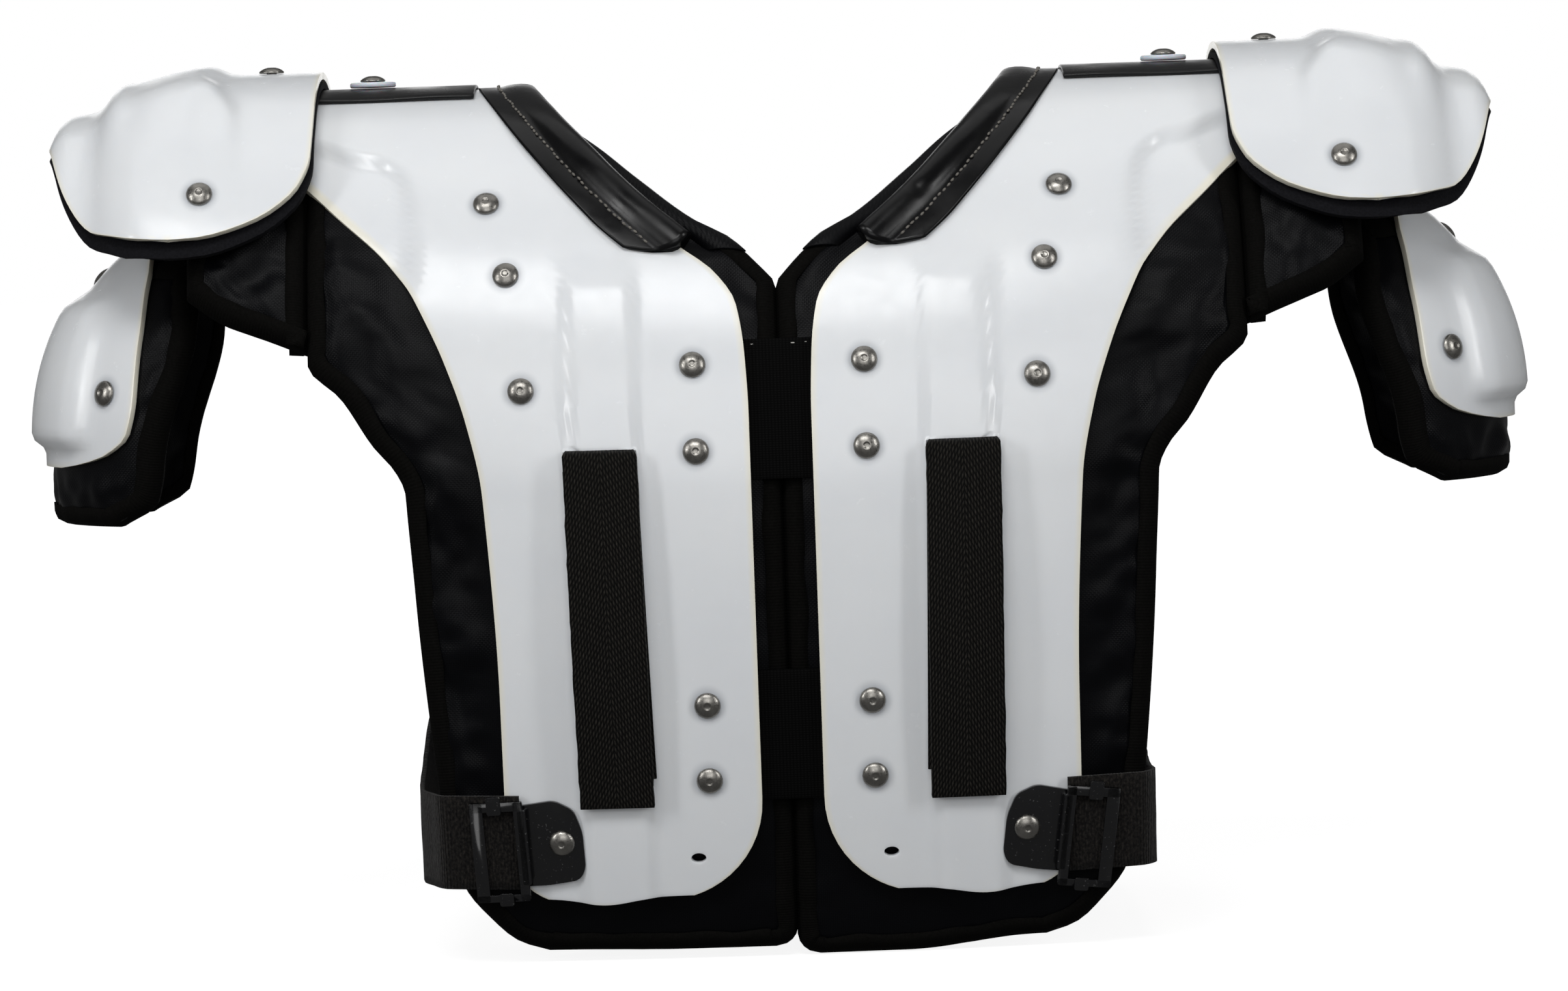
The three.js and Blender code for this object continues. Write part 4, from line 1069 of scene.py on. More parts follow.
def crumple(a, b, seed, size=26.0):
    """Soft creases of the cloth, -1 to 1, at a place on the pad."""
    return noise.noise(Vector((a / size, b / size, seed))) + 0.5 * noise.noise(
        Vector((2.1 * a / size, 1.7 * b / size, seed + 7))
    )


def gathers(along, inward, seed):
    """Pinched folds that run in from a bound edge, -1 to 1."""
    phase = along / 9 + 2.2 * noise.noise(Vector((along / 30, seed, 0)))
    strength = clamp(0.35 + noise.noise(Vector((along / 45, seed + 3, 0))))
    return math.sin(phase * math.pi) * math.exp(-((inward / 13) ** 2)) * strength


def pad_half(distance, half, rim=PAD_RIM):
    """Half of a pad's thickness at a distance in from its edge."""
    share = clamp(distance / PAD_ROUND)
    return rim + (half - rim) * math.sqrt(1 - (1 - share) ** 2)


def plate_cover(x, station):
    """1 where the plate presses the pad flat, 0 from some way beside it."""
    return ease((arm_edge(station) + 11 - x) / 9) * ease((x - neckline(station) + 9) / 7)


def cup_cover(a, z):
    """1 where the cup presses its pad flat."""
    yaw = 90 - abs(math.degrees(a / (CUP_AXES[0] - CUP_PAD_INSET)))
    return ease((yaw - 25) / 7) * ease((z - CUP_HEM + 8) / 8)


def make_pad(name, side, columns, rows, spot, place, middle, half, seed, nodes, cover=plate_cover):
    """A closed pad between two faces that meet at a bound edge, and the tape round that edge."""
    last_column, last_row = len(columns) - 1, len(rows) - 1
    outline = (
        [spot(c, 0) for c in range(last_column)]
        + [spot(last_column, r) for r in range(last_row)]
        + [spot(c, last_row) for c in range(last_column, 0, -1)]
        + [spot(0, r) for r in range(last_row, 0, -1)]
    )
    tree = KDTree(len(outline))
    for i, (a, b) in enumerate(outline):
        tree.insert((a, b, 0), i)
    tree.balance()
    faces = []
    for face in (1, -1):
        def put(column, row, face=face):
            a, b = spot(column, row)
            _, nearest, inward = tree.find((a, b, 0))
            thick = pad_half(inward, half)
            slack = ease(inward / 10) * (1 - 0.7 * cover(a, b))
            swell = 1.9 * slack * crumple(a - 0.7 * b, 0.5 * b + 0.35 * a, seed, 24)
            pinch = 1.5 * gathers(nearest * 3.6, inward, seed) * ease(inward / 3)
            out = thick + (swell + pinch if face > 0 else 0.6 * swell) - (0.0 if inward > 0 else 0.01)
            return place(a, b, middle + face * out)

        def pin(column, row, face=face):
            a, b = spot(column, row)
            inward = tree.find((a, b, 0))[2]
            return max(ease((TAPE + 2 - inward) / 4), cover(a, b) if face > 0 else 0.0)

        bm = sheet(last_column, last_row, put, side * face, spot, pin)
        if face < 0:
            for vert in bm.verts:
                vert.co.x = -vert.co.x
        faces.append(bm)
    front, back = faces
    join(front, back)
    open_edges = [edge for edge in front.edges if edge.is_boundary]
    bmesh.ops.bridge_loops(front, edges=open_edges)
    piece = add_piece(name, front, NYLON, nodes)
    SIMULATED.append((piece, [item.value for item in piece.data.attributes["pin"].data]))
    smooth = piece.modifiers.new("smooth", "SUBSURF")
    smooth.levels = smooth.render_levels = 1
    tape = make_tape(f"{name}_tape", side, outline, place, middle, half, seed)
    return piece, tape


def make_tape(name, side, outline, place, middle, half, seed):
    """The binding round the edge of a pad: over the front face, round the rim and on the back."""
    count = len(outline)
    section = (
        (TAPE, 1), (TAPE * 0.55, 1), (2, 1), (0.1, 0.6), (-0.2, 0), (0.1, -0.6), (2, -1), (TAPE, -1),
    )

    def put(column, row):
        i = row % count
        a, b = outline[i]
        before, after = outline[(i - 2) % count], outline[(i + 2) % count]
        tangent = Vector((after[0] - before[0], after[1] - before[1])).normalized()
        inward = Vector((-tangent.y, tangent.x))
        inset, face = section[column]
        wobble = 1.0 + 0.18 * noise.noise(Vector((i * 0.23, seed, 5)))
        depth = inset * wobble if inset > 0 else inset
        thick = pad_half(max(0, inset), half) + (0.9 if inset > 0 else 0.4)
        lump = 0.7 * gathers(i * 3.6, 2, seed)
        if column in (0, len(section) - 1):
            thick -= 0.7
        out = middle + face * (thick + lump)
        return place(a + inward.x * depth, b + inward.y * depth, out)

    def uv(column, row):
        return column * 2.5, row * 3.6

    bm = sheet(len(section) - 1, count, put, side, uv)
    piece = add_piece(name, bm, TAPE_CLOTH, ())
    wall = piece.modifiers.new("wall", "SOLIDIFY")
    wall.thickness = 0.6 * MM
    wall.offset = 0
    return piece


SIMULATED = []


def swell_pads(frames=20, cap=7.0):
    """Blows up the pads as cloth over foam, so that they pucker at their bindings. The binding and
    what the plates press flat are pinned, and no point moves further than the cap, in millimetres."""
    before = {}
    for piece, pins in SIMULATED:
        before[piece] = [vert.co.copy() for vert in piece.data.vertices]
        group = piece.vertex_groups.new(name="pin")
        for i, weight in enumerate(pins):
            group.add([i], weight, "REPLACE")
        cloth = piece.modifiers.new("cloth", "CLOTH")
        settings = cloth.settings
        settings.quality = 5
        settings.mass = 0.25
        settings.tension_stiffness = 12
        settings.compression_stiffness = 6
        settings.shear_stiffness = 4
        settings.bending_stiffness = 0.06
        settings.shrink_min = -0.08
        settings.vertex_group_mass = "pin"
        settings.pin_stiffness = 4
        settings.use_pressure = True
        settings.uniform_pressure_force = 3.0
        settings.effector_weights.gravity = 0
        cloth.point_cache.frame_end = frames
    for frame_number in range(1, frames + 1):
        bpy.context.scene.frame_set(frame_number)
    graph = bpy.context.evaluated_depsgraph_get()
    for piece, _ in SIMULATED:
        settled = piece.evaluated_get(graph).to_mesh()
        moved = [vert.co.copy() for vert in settled.vertices]
        piece.evaluated_get(graph).to_mesh_clear()
        piece.modifiers.remove(piece.modifiers["cloth"])
        for vert, start, end in zip(piece.data.vertices, before[piece], moved):
            shift = end - start
            if shift.length > cap * MM:
                shift *= cap * MM / shift.length
            vert.co = start + shift
    bpy.context.scene.frame_set(1)


def make_body_pad(side, word, back):
    """The chest or back pad of one side."""
    first, last = (RIDGE + 0.4, 2 * RIDGE) if back else (0, RIDGE - 0.4)
    rows = spread(first, last, 4.2, PAD_STEPS)
    columns = spread(0, PAD_SPREAD, 4.2, PAD_STEPS)
    inner_steps = len(PAD_STEPS)

    def spot(column, row):
        station = rows[row]
        inner, outer = pad_edges(station)
        inner += corner_inset(height_at(station), 9)
        if not back:
            outside = ease(columns[column] / PAD_SPREAD * 1.6 - 0.6)
            lift = between(PAD_LIFT[word], PAD_LIFT["outside"], outside)
            station += lift * clamp(1 - station / 60)
        if column < inner_steps:
            return inner + columns[column], station
        if column >= len(columns) - inner_steps:
            return outer - (PAD_SPREAD - columns[column]), station
        share = (columns[column] - PAD_STEPS[-1]) / (PAD_SPREAD - 2 * PAD_STEPS[-1])
        return between(inner + PAD_STEPS[-1], outer - PAD_STEPS[-1], share), station

    name = f"{'back' if back else 'chest'}_pad_{word}"
    seed = 11 + side * 3 + (40 if back else 0)
    return make_pad(name, side, columns, rows, spot, form_point, PAD_MIDDLE, PAD_HALF, seed, (name,))


def make_shoulder_pad(side, word):
    """The pad under the end of the arch, between the seam and the armhole."""
    inner = LOBE_SEAM + 0.8
    columns = spread(inner, LOBE_END, 4, PAD_STEPS)
    hem = [
        station_at(RIDGE_HEIGHT * read(LOBE_HEM, "across", (x - inner) / (LOBE_END - inner), "level"))
        for x in columns
    ]
    shares = spread(0, 100, 1.15, (0.3, 0.7, 1.3, 2.2))

    def spot(column, row):
        return columns[column], between(hem[column], 2 * RIDGE - hem[column], shares[row] / 100)

    name = f"shoulder_pad_{word}"
    return make_pad(name, side, columns, shares, spot, form_point, PAD_MIDDLE, PAD_HALF, 21 + side, (name,))


def make_cup_pad(side, word):
    """The pad of the upper arm, inside the cup."""
    heights = spread(CUP_PAD_HEM, CUP_PAD_TOP, 3.8, PAD_STEPS)
    columns = spread(0, 100, 2.6, (0.7, 1.6, 3, 5))
    radius = CUP_AXES[0] - CUP_PAD_INSET

    def spot(column, row):
        z = heights[row]
        yaw = read(CUP_PAD_EDGE, "height", (z - CUP_PAD_HEM) / (CUP_PAD_TOP - CUP_PAD_HEM), "yaw")
        turn = between(yaw, 180 - yaw, columns[column] / 100) - 90
        return math.radians(turn) * radius, z

    def place(a, b, out):
        return cup_point(90 + math.degrees(a / radius), b, out)

    name = f"cup_pad_{word}"
    middle = -(SHELL_WALL + 3 + CUP_PAD_HALF)
    return make_pad(
        name, side, columns, heights, spot, place, middle, CUP_PAD_HALF, 31 + side, (name,), cup_cover
    )


# Straps, collar and strips


def strip(name, side, rows, columns, place, uv, material, thickness, nodes=(), edge=0.5):
    """A flat band with a wall and rounded edges."""
    bm = sheet(columns, rows, place, side, uv)
    piece = add_piece(name, bm, material, nodes)
    return add_wall(piece, thickness, edge, 2)


def make_neck_band(side, word):
    """The nylon sleeve along the neck edge of the pads."""
    start = station_at(0.812 * RIDGE_HEIGHT)
    rows = spread(start, 2 * RIDGE - start - BACK_NECK_DROP, 4)
    columns = 8

    def place(column, row):
        share = column / columns
        puff = math.sin(math.pi * share) ** 0.6
        wave = 0.5 * crumple(share * 20, rows[row], 51 + side, 18)
        x = pad_edges(rows[row])[0] + 0.5 + share * NECK_BAND_WIDTH
        return form_point(x, rows[row], PAD_FRONT - 1.6 + (3.4 + wave) * puff)

    def uv(column, row):
        return column / columns * NECK_BAND_WIDTH, rows[row]

    name = f"neck_band_{word}"
    piece = strip(name, side, len(rows) - 1, columns, place, uv, NYLON, 1.0, (name,))
    return piece


# Section of the collar: across from the plate's neck edge, and out of its face. It runs from the
# outer edge of the flange over the roll, round the neck edge and back under the plate.
COLLAR_SECTION = (
    (17, 1.7), (14, 2.1), (10, 2.2), (8.4, 2.0), (6.8, 2.6), (4.4, 4.6), (1.4, 6.0), (-1.6, 6.3),
    (-4.4, 5.4), (-6.5, 3.2), (-7.3, 0.4), (-6.6, -2.0), (-4.6, -3.0), (-1.2, -3.0), (-0.6, 0.4), (4, 0.5),
    (10, 0.4), (14, 0.4), (17, 0.5),
)
COLLAR_START = (
    {"across": -7.4, "z": 306},
    {"across": 5, "z": 299},
    {"across": 9, "z": 299},
    {"across": 17, "z": 301},
)


@lru_cache(None)
def smooth_neckline(station):
    """The neckline without its small bends, and its slope, which the stiff collar follows."""
    steps = [neckline(station + 4 * k) for k in range(-5, 6)]
    return sum(steps) / len(steps), (steps[-1] - steps[0]) / 40


def collar_point(across, out, share):
    """A point of the collar at a share of the way from its front end over the ridge to its back end."""
    first = station_at(read(COLLAR_START, "across", across, "z"))
    last = 2 * RIDGE - first + BACK_NECK_DROP
    station = between(first, last, share)
    edge, slope = smooth_neckline(station)
    if out > 0.6:
        out *= 1 - 0.7 * ease(1.3 - abs(station - RIDGE) / 70)
    return edge + across * math.hypot(1, slope), station, out


def make_collar(side, word):
    rows = 150
    section = []
    for low, high in zip(COLLAR_SECTION, COLLAR_SECTION[1:]):
        section += [low, ((low[0] + high[0]) / 2, (low[1] + high[1]) / 2)]
    count = len(section)

    def place(column, row):
        across, out = section[column % count]
        dent = -0.9 * bump(row / rows, 0.075, 0.006) * bump(across, 0, 5) if side > 0 else 0
        ripple = 0.25 * noise.noise(Vector((row * 0.12, across * 0.2, side)))
        x, station, rise = collar_point(across, out + (ripple + dent) * (out > 1), row / rows)
        return form_point(x, station, rise)

    bm = sheet(count, rows, place, side, lambda c, r: (c * 1.5, r * 3.0))
    bmesh.ops.remove_doubles(bm, verts=bm.verts, dist=1e-6)
    bmesh.ops.holes_fill(bm, edges=[edge for edge in bm.edges if edge.is_boundary], sides=0)
    name = f"collar_{word}"
    piece = add_piece(name, bm, VINYL, (name,), recalc=True)
    stitches = [collar_point(8.4, 2.3, i / 600) for i in range(8, 600)]
    points = [form_point(*spot) for spot in stitches]
    thread = make_stitches(
        f"collar_thread_{word}", side, points, GREY_THREAD, length=2.6, gap=0.5, radius=0.62, seed=61 + side
    )
    return piece, thread


def make_stitches(name, side, points, material, length, gap, radius, seed):
    """A row of stitches along a path, each a short rounded piece of thread, a little uneven."""
    bm = bmesh.new()
    travelled, next_start = 0.0, 0.0
    for low, high in zip(points, points[1:]):
        step = (high - low).length
        if travelled + step > next_start + length / 2 and step > 0:
            along = (high - low).normalized()
            middle = low + along * (next_start + length / 2 - travelled)
            shift = noise.noise_vector(Vector((next_start * 0.7, seed, 0))) * radius * 1.1
            turn = along.to_track_quat("X", "Z").to_matrix().to_4x4()
            turn = turn @ Matrix.Rotation(0.2 * noise.noise(Vector((next_start, seed, 9))), 4, "Z")
            shape = Matrix.Diagonal((length / 2, radius, radius, 1))
            place = Matrix.Translation(middle + shift) @ turn @ shape
            mirror = Matrix.Diagonal((side * MM, MM, MM, 1))
            bmesh.ops.create_icosphere(bm, subdivisions=1, radius=1, matrix=mirror @ place)
            next_start += length + gap
        travelled += step
    return add_piece(name, bm, material, recalc=True, weld=1e-7)


def make_belt_webbing(side, word):
    """The doubled webbing that hangs from the slot in front of the rib."""
    top, bottom = station_at(SLOT["z"] + 2.5), station_at(BELT_HEM)
    rows = spread(bottom, top - 2.5, 4)
    fold = 7
    columns = 14
    face = RIB_RISE + GAP + 2 * WEBBING

    def spot(column, row):
        if row < len(rows):
            return between(-0.5, 0.5, column / columns) * BELT_WIDTH, rows[row], face
        angle = math.pi / 2 * (row - len(rows) + 1) / fold
        sink = face * (1 - math.cos(angle)) * 1.9
        narrowing = 3 * math.sin(angle)
        across = between(-0.5, 0.5, column / columns) * (BELT_WIDTH - narrowing)
        return across, rows[-1] + narrowing, face - sink

    def place(column, row):
        across, station, out = spot(column, row)
        share = (station - bottom) / (top - bottom)
        bulge = 1.6 * math.sin(math.pi * share) + 0.35 * crumple(across, station, 71 + side, 34)
        drift = -BELT_LEAN * (1 - share)
        fray = noise.noise(Vector((station * 0.35, across, side)))
        edge = 0.35 * fray * bump(abs(across), BELT_WIDTH / 2, 2)
        return form_point(BELT_CENTRE + across + drift + edge, station, out + bulge)

    name = f"belt_webbing_{word}"
    piece = strip(
        name, side, len(rows) + fold - 1, columns, place, lambda c, r: spot(c, r)[:2], HERRINGBONE,
        2 * WEBBING, (name,), 0.7,
    )
    return piece


def make_belt_back(side, word):
    """The under layer of the webbing, which shows beside the upper one."""
    top, bottom = station_at(SLOT["z"] - 6), station_at(BELT_HEM + 12)
    rows = spread(bottom, top, 5)
    columns = 8

    def place(column, row):
        across = between(-0.5, 0.5, column / columns) * BELT_WIDTH
        share = (rows[row] - bottom) / (top - bottom)
        return form_point(BELT_CENTRE + across - 3.4 * (1 - share), rows[row], RIB_RISE + GAP + 0.9)

    return strip(
        f"belt_under_{word}", side, len(rows) - 1, columns, place,
        lambda c, r: (between(-0.5, 0.5, c / columns) * BELT_WIDTH, rows[r]), HERRINGBONE, 0.8,
    )


def make_centre_strap(name, bottom, top, back):
    rows = spread(station_at(bottom), station_at(top), 4)
    columns = 24

    def place(column, row):
        x = between(-CENTRE_STRAP_REACH, CENTRE_STRAP_REACH, column / columns)
        station = 2 * RIDGE - rows[row] if back else rows[row]
        sag = 0.5 * math.cos(math.pi * x / (2 * CENTRE_STRAP_REACH))
        return form_point(x, station, -(PLATE_WALL + GAP) + sag)

    piece = strip(
        name, 1, len(rows) - 1, columns, place, lambda c, r: (c * 3.8, rows[r]), STRAP_CLOTH,
        WEBBING, (name,), 0.4,
    )
    return piece


def make_side_strap(side, word):
    """The elastic round the side, from the slide frame to the back plate."""
    bulge = SIDE_STRAP_BULGE[word]
    start = BUCKLE["x"] + 17.5
    face = leg_depth(SIDE_STRAP_LEVEL) + GAP + WEBBING / 2
    half = [
        (start, face - CHEST_BOW * (start / BIB_EDGE) ** 2 + 1.2),
        (between(start, SIDE_STRAP_RIM, 0.45), face - CHEST_BOW + 1.0),
        (between(start, SIDE_STRAP_RIM, 0.75), face - CHEST_BOW - 1),
        (SIDE_STRAP_RIM - 4, face - 11),
        (SIDE_STRAP_RIM, face - 22),
        (bulge - 2, face * 0.6),
    ]
    front = [Vector((x, -y)) for x, y in half]
    path = front + [Vector((bulge, 0))] + [Vector((x, y)) for x, y in reversed(half)]
    dense = smooth_path(path, 90)
    columns = 10

    def place(column, row):
        point = dense[row]
        z = SIDE_STRAP_LEVEL + (column / columns - 0.5) * ELASTIC
        lean = leg_depth(z) / leg_depth(SIDE_STRAP_LEVEL)
        ripple = 0.5 * crumple(row * 4, z, 81 + side, 16)
        swell = 1 + ripple * 0.004
        rise = SIDE_STRAP_RISE[word] * ease((row - 22) / 45)
        return Vector((point.x * swell, point.y * lean, z + rise + 0.8 * math.sin(row * 0.14)))

    name = f"side_strap_{word}"
    bm = sheet(columns, len(dense) - 1, place, side, lambda c, r: (c / columns * ELASTIC, r * 4.2))
    piece = add_piece(name, bm, ELASTIC_CLOTH, (name,))
    wall = piece.modifiers.new("wall", "SOLIDIFY")
    wall.thickness = WEBBING * MM
    wall.offset = 0
    length = sum((high - low).length for low, high in zip(dense, dense[1:]))
    return piece


def smooth_path(points, count):
    """Evenly spaced points on a Catmull-Rom curve through the points given."""
    dense = []
    padded = [2 * points[0] - points[1]] + list(points) + [2 * points[-1] - points[-2]]
    for i in range(1, len(padded) - 2):
        p0, p1, p2, p3 = padded[i - 1 : i + 3]
        for k in range(24):
            t = k / 24
            dense.append(
                0.5 * ((2 * p1) + (p2 - p0) * t + (2 * p0 - 5 * p1 + 4 * p2 - p3) * t * t
                       + (3 * p1 - p0 - 3 * p2 + p3) * t**3)
            )
    dense.append(points[-1])
    lengths = [0.0]
    for low, high in zip(dense, dense[1:]):
        lengths.append(lengths[-1] + (high - low).length)
    result = []
    for i in range(count + 1):
        target = lengths[-1] * i / count
        k = int(clamp(bisect_right(lengths, target) - 1, 0, len(dense) - 2))
        span = lengths[k + 1] - lengths[k]
        result.append(dense[k].lerp(dense[k + 1], (target - lengths[k]) / span if span else 0))
    return result


def make_hinge_strap(side, word):
    """The black strap along the ridge, which carries the epaulet and drops to the cup."""
    start = NECK_EDGE + 17
    flat = spread(start, ARCH_END, 4)
    drop = 22
    hang = ARCH_END + 27
    rows = spread(-HINGE_HALF_WIDTH, HINGE_HALF_WIDTH, 4)
    out = GAP + WEBBING

    def place(column, row):
        y = rows[row]
        if column < len(flat):
            wave = 0.35 * math.sin(flat[column] * 0.1) * ease(abs(y) / HINGE_HALF_WIDTH * 2 - 1)
            return form_point(flat[column], RIDGE + y, out + wave)
        angle = (column - len(flat) + 1) / drop
        ridge = form_point(ARCH_END, RIDGE + y, out)
        x = between(ARCH_END, hang + 8, math.sin(angle * math.pi / 2))
        z = between(ridge.z, CUP_TOP - 18, 1 - math.cos(angle * math.pi / 2))
        return Vector((x, ridge.y * between(1, 0.3, angle), z))

    name = f"hinge_strap_{word}"
    return strip(
        name, side, len(rows) - 1, len(flat) + drop - 1, place, lambda c, r: (c * 4, rows[r]), VINYL,
        WEBBING, (name,), 0.6,
    )


# Rivets, washers and buckles

# Section of a rivet: radius and height above what it sits on
RIVET_PROFILE = (
    (0, -2.5), (2.2, -2.5), (2.2, 0), (5.2, 0), (5.5, 0.35), (5.35, 0.8), (4.5, 1.5), (3.2, 2.15),
    (1.9, 2.5), (1.45, 2.55), (1.2, 2.3), (0.8, 2.2), (0, 2.25),
)


def make_rivet(name, place):
    bm = bmesh.new()
    lathe(bm, RIVET_PROFILE, place)
    return add_piece(name, bm, STEEL, (name,), weld=1e-7, recalc=True)


def make_washer(side, word):
    inner, outer, thick = 2.6, WASHER / 2, WASHER_THICKNESS
    profile = (
        (inner, 0), (outer - 0.5, 0), (outer, 0.5), (outer, thick - 0.5), (outer - 0.5, thick),
        (inner, thick), (inner, 0),
    )
    middle = between(NECK_EDGE, ARCH_END, 0.5)

    def ridge(across, up):
        return form_point(middle + across, RIDGE + up, 0)

    bm = bmesh.new()
    lift = GAP + WEBBING + GAP
    lathe(bm, profile, seat(ridge, lift, side), 40)
    name = f"washer_{word}"
    add_piece(name, bm, WASHER_NYLON, (name,), weld=1e-7, recalc=True)
    make_rivet(f"rivet_ridge_{word}", seat(ridge, lift + WASHER_THICKNESS + GAP, side))


def make_rivets(side, word):
    for name, x, z in BIB_RIVETS:
        make_rivet(f"rivet_{name}_{word}", seat_on_form(x, station_at(z), GAP, side))
    front = epaulet_seat(EPAULET_RIVET["x"], station_at(EPAULET_RIVET["z"]), GAP, side)
    make_rivet(f"rivet_epaulet_{word}", front)
    make_rivet(f"rivet_epaulet_top_{word}", epaulet_seat(EPAULET_TOP_RIVET, RIDGE, GAP, side))
    make_rivet(f"rivet_cup_{word}", cup_seat(CUP_RIVET["yaw"], CUP_RIVET["z"], GAP, side))
    sunk = GAP - CUP_TOP_RIVET["sink"]
    make_rivet(f"rivet_cup_top_{word}", cup_seat(CUP_TOP_RIVET["yaw"], CUP_TOP_RIVET["z"], sunk, side))
    bm = bmesh.new()
    for _, x, z in BIB_RIVETS:
        lathe(bm, RIVET_PROFILE, seat_on_form(x, 2 * RIDGE - station_at(z), GAP, side))
    add_piece(f"rivets_back_{word}", bm, STEEL, (), weld=1e-7, recalc=True)


def extrude_outline(bm, points, low, high, matrix, corner):
    """Adds a flat plate with this outline between two heights, in millimetres, with round corners."""
    plate = bmesh.new()
    plate.faces.new([plate.verts.new((x, y, low)) for x, y in points])
    bmesh.ops.bevel(
        plate, geom=plate.verts[:], offset=corner, offset_type="OFFSET", segments=5, profile=0.5,
        affect="VERTICES", material=-1,
    )
    made = bmesh.ops.extrude_face_region(plate, geom=plate.faces[:])
    top = [item for item in made["geom"] if isinstance(item, bmesh.types.BMVert)]
    bmesh.ops.translate(plate, verts=top, vec=(0, 0, high - low))
    bmesh.ops.transform(plate, matrix=matrix, verts=plate.verts[:])
    join(bm, plate)


def rectangle(left, low, right, high):
    return (left, low), (right, low), (right, high), (left, high)


def make_buckle(side, word):
    """The stamped buckle: riveted plate, folded lip and slide frame with its two tabs."""
    tilt = -math.radians(BUCKLE_TILT[word] * 0.5)
    base = seat_on_form(BUCKLE["x"], station_at(BUCKLE["z"]), GAP, side, tilt)
    sheet_thickness = BUCKLE["sheet"]
    low, high = BUCKLE["lift"], BUCKLE["lift"] + sheet_thickness
    bm = bmesh.new()
    plate = ((-9, -12), (-6, -17), (7, -18.5), (18, -18.5), (18, 17), (2, 18.7), (-6, 14), (-9, 4))
    extrude_outline(bm, plate, 0, sheet_thickness, base, 2.5)
    extrude_outline(bm, rectangle(14, -17, 17.5, 16), 0, high, base, 0.8)
    start, end = 15, 37.5
    bottom, top = -(ELASTIC / 2 + 4), ELASTIC / 2
    bars = (
        rectangle(start, bottom, start + 4, top),
        rectangle(end - 5.5, bottom, end, top),
        rectangle(start, top - 4, end, top),
        rectangle(start, bottom, end, bottom + 3),
    )
    for bar in bars:
        extrude_outline(bm, bar, low, high, base, 0.9)
    extrude_outline(bm, rectangle(24, top - 5, 30, top + 3), high, high + 1.4, base, 1.0)
    extrude_outline(bm, rectangle(22, bottom - 1.5, 28, bottom + 4), high, high + 1.2, base, 1.0)
    name = f"buckle_{word}"
    piece = add_piece(name, bm, ENAMEL, (name,), weld=1e-8, recalc=True)
    round_edges(piece, 0.35, 2)
    make_rivet(f"rivet_buckle_{word}", base @ Matrix.Translation((0, 0, sheet_thickness + GAP)))
    return piece


# Assembly

noise.seed_set(STITCH_SEED)
# The rivets' places, round which the white plastic gets its painted shade on both sides, front and back
RIVET_PLACES = [seat_on_form(x, station_at(z), 0, 1) for _, x, z in BIB_RIVETS]
RIVET_PLACES.append(epaulet_seat(EPAULET_RIVET["x"], station_at(EPAULET_RIVET["z"]), 0, 1))
RIVET_PLACES.append(cup_seat(CUP_RIVET["yaw"], CUP_RIVET["z"], 0, 1))
WHITE = moulded_polyethylene([seat_of.translation for seat_of in RIVET_PLACES])
for side, word in SIDES:
    make_plate(side, word)
    make_epaulet(side, word)
    make_cup(side, word)
    for back in (False, True):
        make_body_pad(side, word, back)
    make_shoulder_pad(side, word)
    make_cup_pad(side, word)
    make_neck_band(side, word)
    make_collar(side, word)
    make_hinge_strap(side, word)
    make_washer(side, word)
    make_belt_webbing(side, word)
    make_belt_back(side, word)
    make_side_strap(side, word)
    make_buckle(side, word)
    make_rivets(side, word)
for name, bottom, top in CENTRE_STRAPS:
    make_centre_strap(f"centre_strap_{name}_front", bottom, top, False)
    make_centre_strap(f"centre_strap_{name}_back", bottom, top, True)
hem_of_strap = [form_point(x, station_at(261), -(PLATE_WALL + GAP)) for x in range(-18, 19)]
make_stitches(
    "centre_strap_thread", 1, hem_of_strap, WHITE_THREAD, length=3.2, gap=2.4, radius=0.45, seed=5
)
swell_pads()


# Stage, light and camera

CAMERA_DISTANCE = 2.5
CAMERA_ELEVATION = math.radians(3)
CAMERA_ROLL = math.radians(2)
LOOK_AT = Vector((0.0005, 0, 0.19))


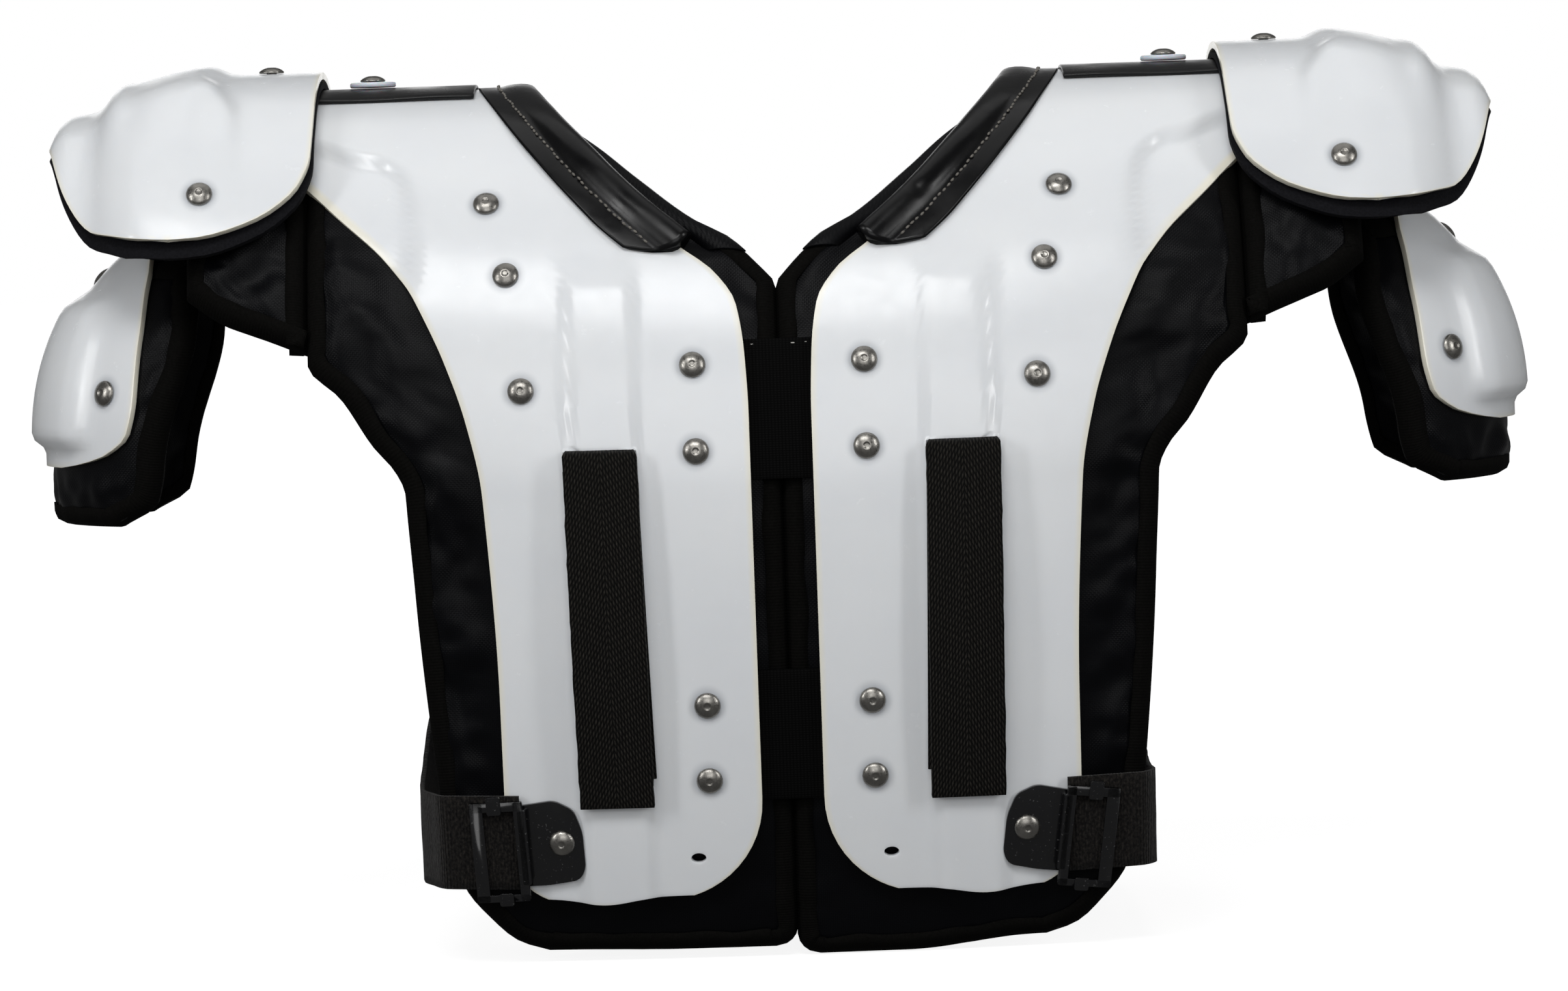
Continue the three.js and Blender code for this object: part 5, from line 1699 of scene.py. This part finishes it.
def make_stage():
    """A wide white floor, which only the camera sees, so that it throws nothing on the object."""
    bm = bmesh.new()
    bmesh.ops.create_grid(bm, x_segments=1, y_segments=1, size=20)
    mesh = bpy.data.meshes.new("floor")
    bm.to_mesh(mesh)
    bm.free()
    floor = bpy.data.objects.new("floor", mesh)
    bpy.context.scene.collection.objects.link(floor)
    material, tree, shader = new_material(
        "floor_paper", {"Base Color": linear("9c9c9c"), "Roughness": 0.9, "Specular IOR Level": 0.0}
    )
    shader.inputs["Emission Color"].default_value = (1, 1, 1, 1)
    place = add_node(tree, "ShaderNodeTexCoord").outputs["Object"]
    away = add_node(tree, "ShaderNodeVectorMath", {"operation": "LENGTH"}, {0: place}).outputs["Value"]
    glow = add_node(
        tree, "ShaderNodeMapRange", {"From Min": 0.5, "From Max": 2.2, "To Min": 0.87, "To Max": 1.02},
        {"Value": away},
    )
    tree.links.new(glow.outputs[0], shader.inputs["Emission Strength"])
    mesh.materials.append(material)
    floor.visible_diffuse = False
    floor.visible_glossy = False


def add_light(name, size, place, target, power):
    data = bpy.data.lights.new(name, "AREA")
    data.shape = "RECTANGLE"
    data.size, data.size_y = size
    data.energy = power
    light = bpy.data.objects.new(name, data)
    light.location = place
    light.rotation_euler = (Vector(target) - Vector(place)).to_track_quat("-Z", "Y").to_euler()
    bpy.context.scene.collection.objects.link(light)


make_stage()
add_light("key", (1.6, 0.7), (-0.35, -1.8, 2.0), (0, 0, 0.25), 26)
add_light("top", (2.6, 1.6), (0, 0.3, 2.3), (0, 0, 0.2), 9)
add_light("front", (2.2, 1.6), (0, -3.4, 0.9), (0, 0, 0.2), 22)
add_light("behind", (2.4, 1.0), (0, 3.2, 0.8), (0, 0, 0.2), 9)
add_light("left", (0.3, 1.2), (-2.0, -1.4, 1.0), (0, 0, 0.2), 14)
add_light("right", (0.3, 1.2), (2.0, -1.4, 1.0), (0, 0, 0.2), 14)

# The studio is white to the camera and dim to everything else, so that black cloth stays black
world = bpy.data.worlds.new("studio")
bpy.context.scene.world = world
world.use_nodes = True
tree = world.node_tree
seen = add_node(tree, "ShaderNodeLightPath").outputs["Is Camera Ray"]
strength = add_node(tree, "ShaderNodeMapRange", {"To Min": 0.14, "To Max": 1.0}, {"Value": seen})
tree.links.new(strength.outputs[0], tree.nodes["Background"].inputs["Strength"])
tree.nodes["Background"].inputs["Color"].default_value = (1, 1, 1, 1)

camera_data = bpy.data.cameras.new("camera")
camera_data.lens = 131
camera_data.sensor_width = 36
camera = bpy.data.objects.new("camera", camera_data)
back = Vector((0, -math.cos(CAMERA_ELEVATION), math.sin(CAMERA_ELEVATION)))
camera.location = LOOK_AT + back * CAMERA_DISTANCE
turn = (-back).to_track_quat("-Z", "Y").to_matrix().to_4x4() @ Matrix.Rotation(-CAMERA_ROLL, 4, "Z")
camera.rotation_euler = turn.to_euler()
bpy.context.scene.collection.objects.link(camera)
bpy.context.scene.camera = camera
bpy.context.scene.view_settings.view_transform = "Standard"
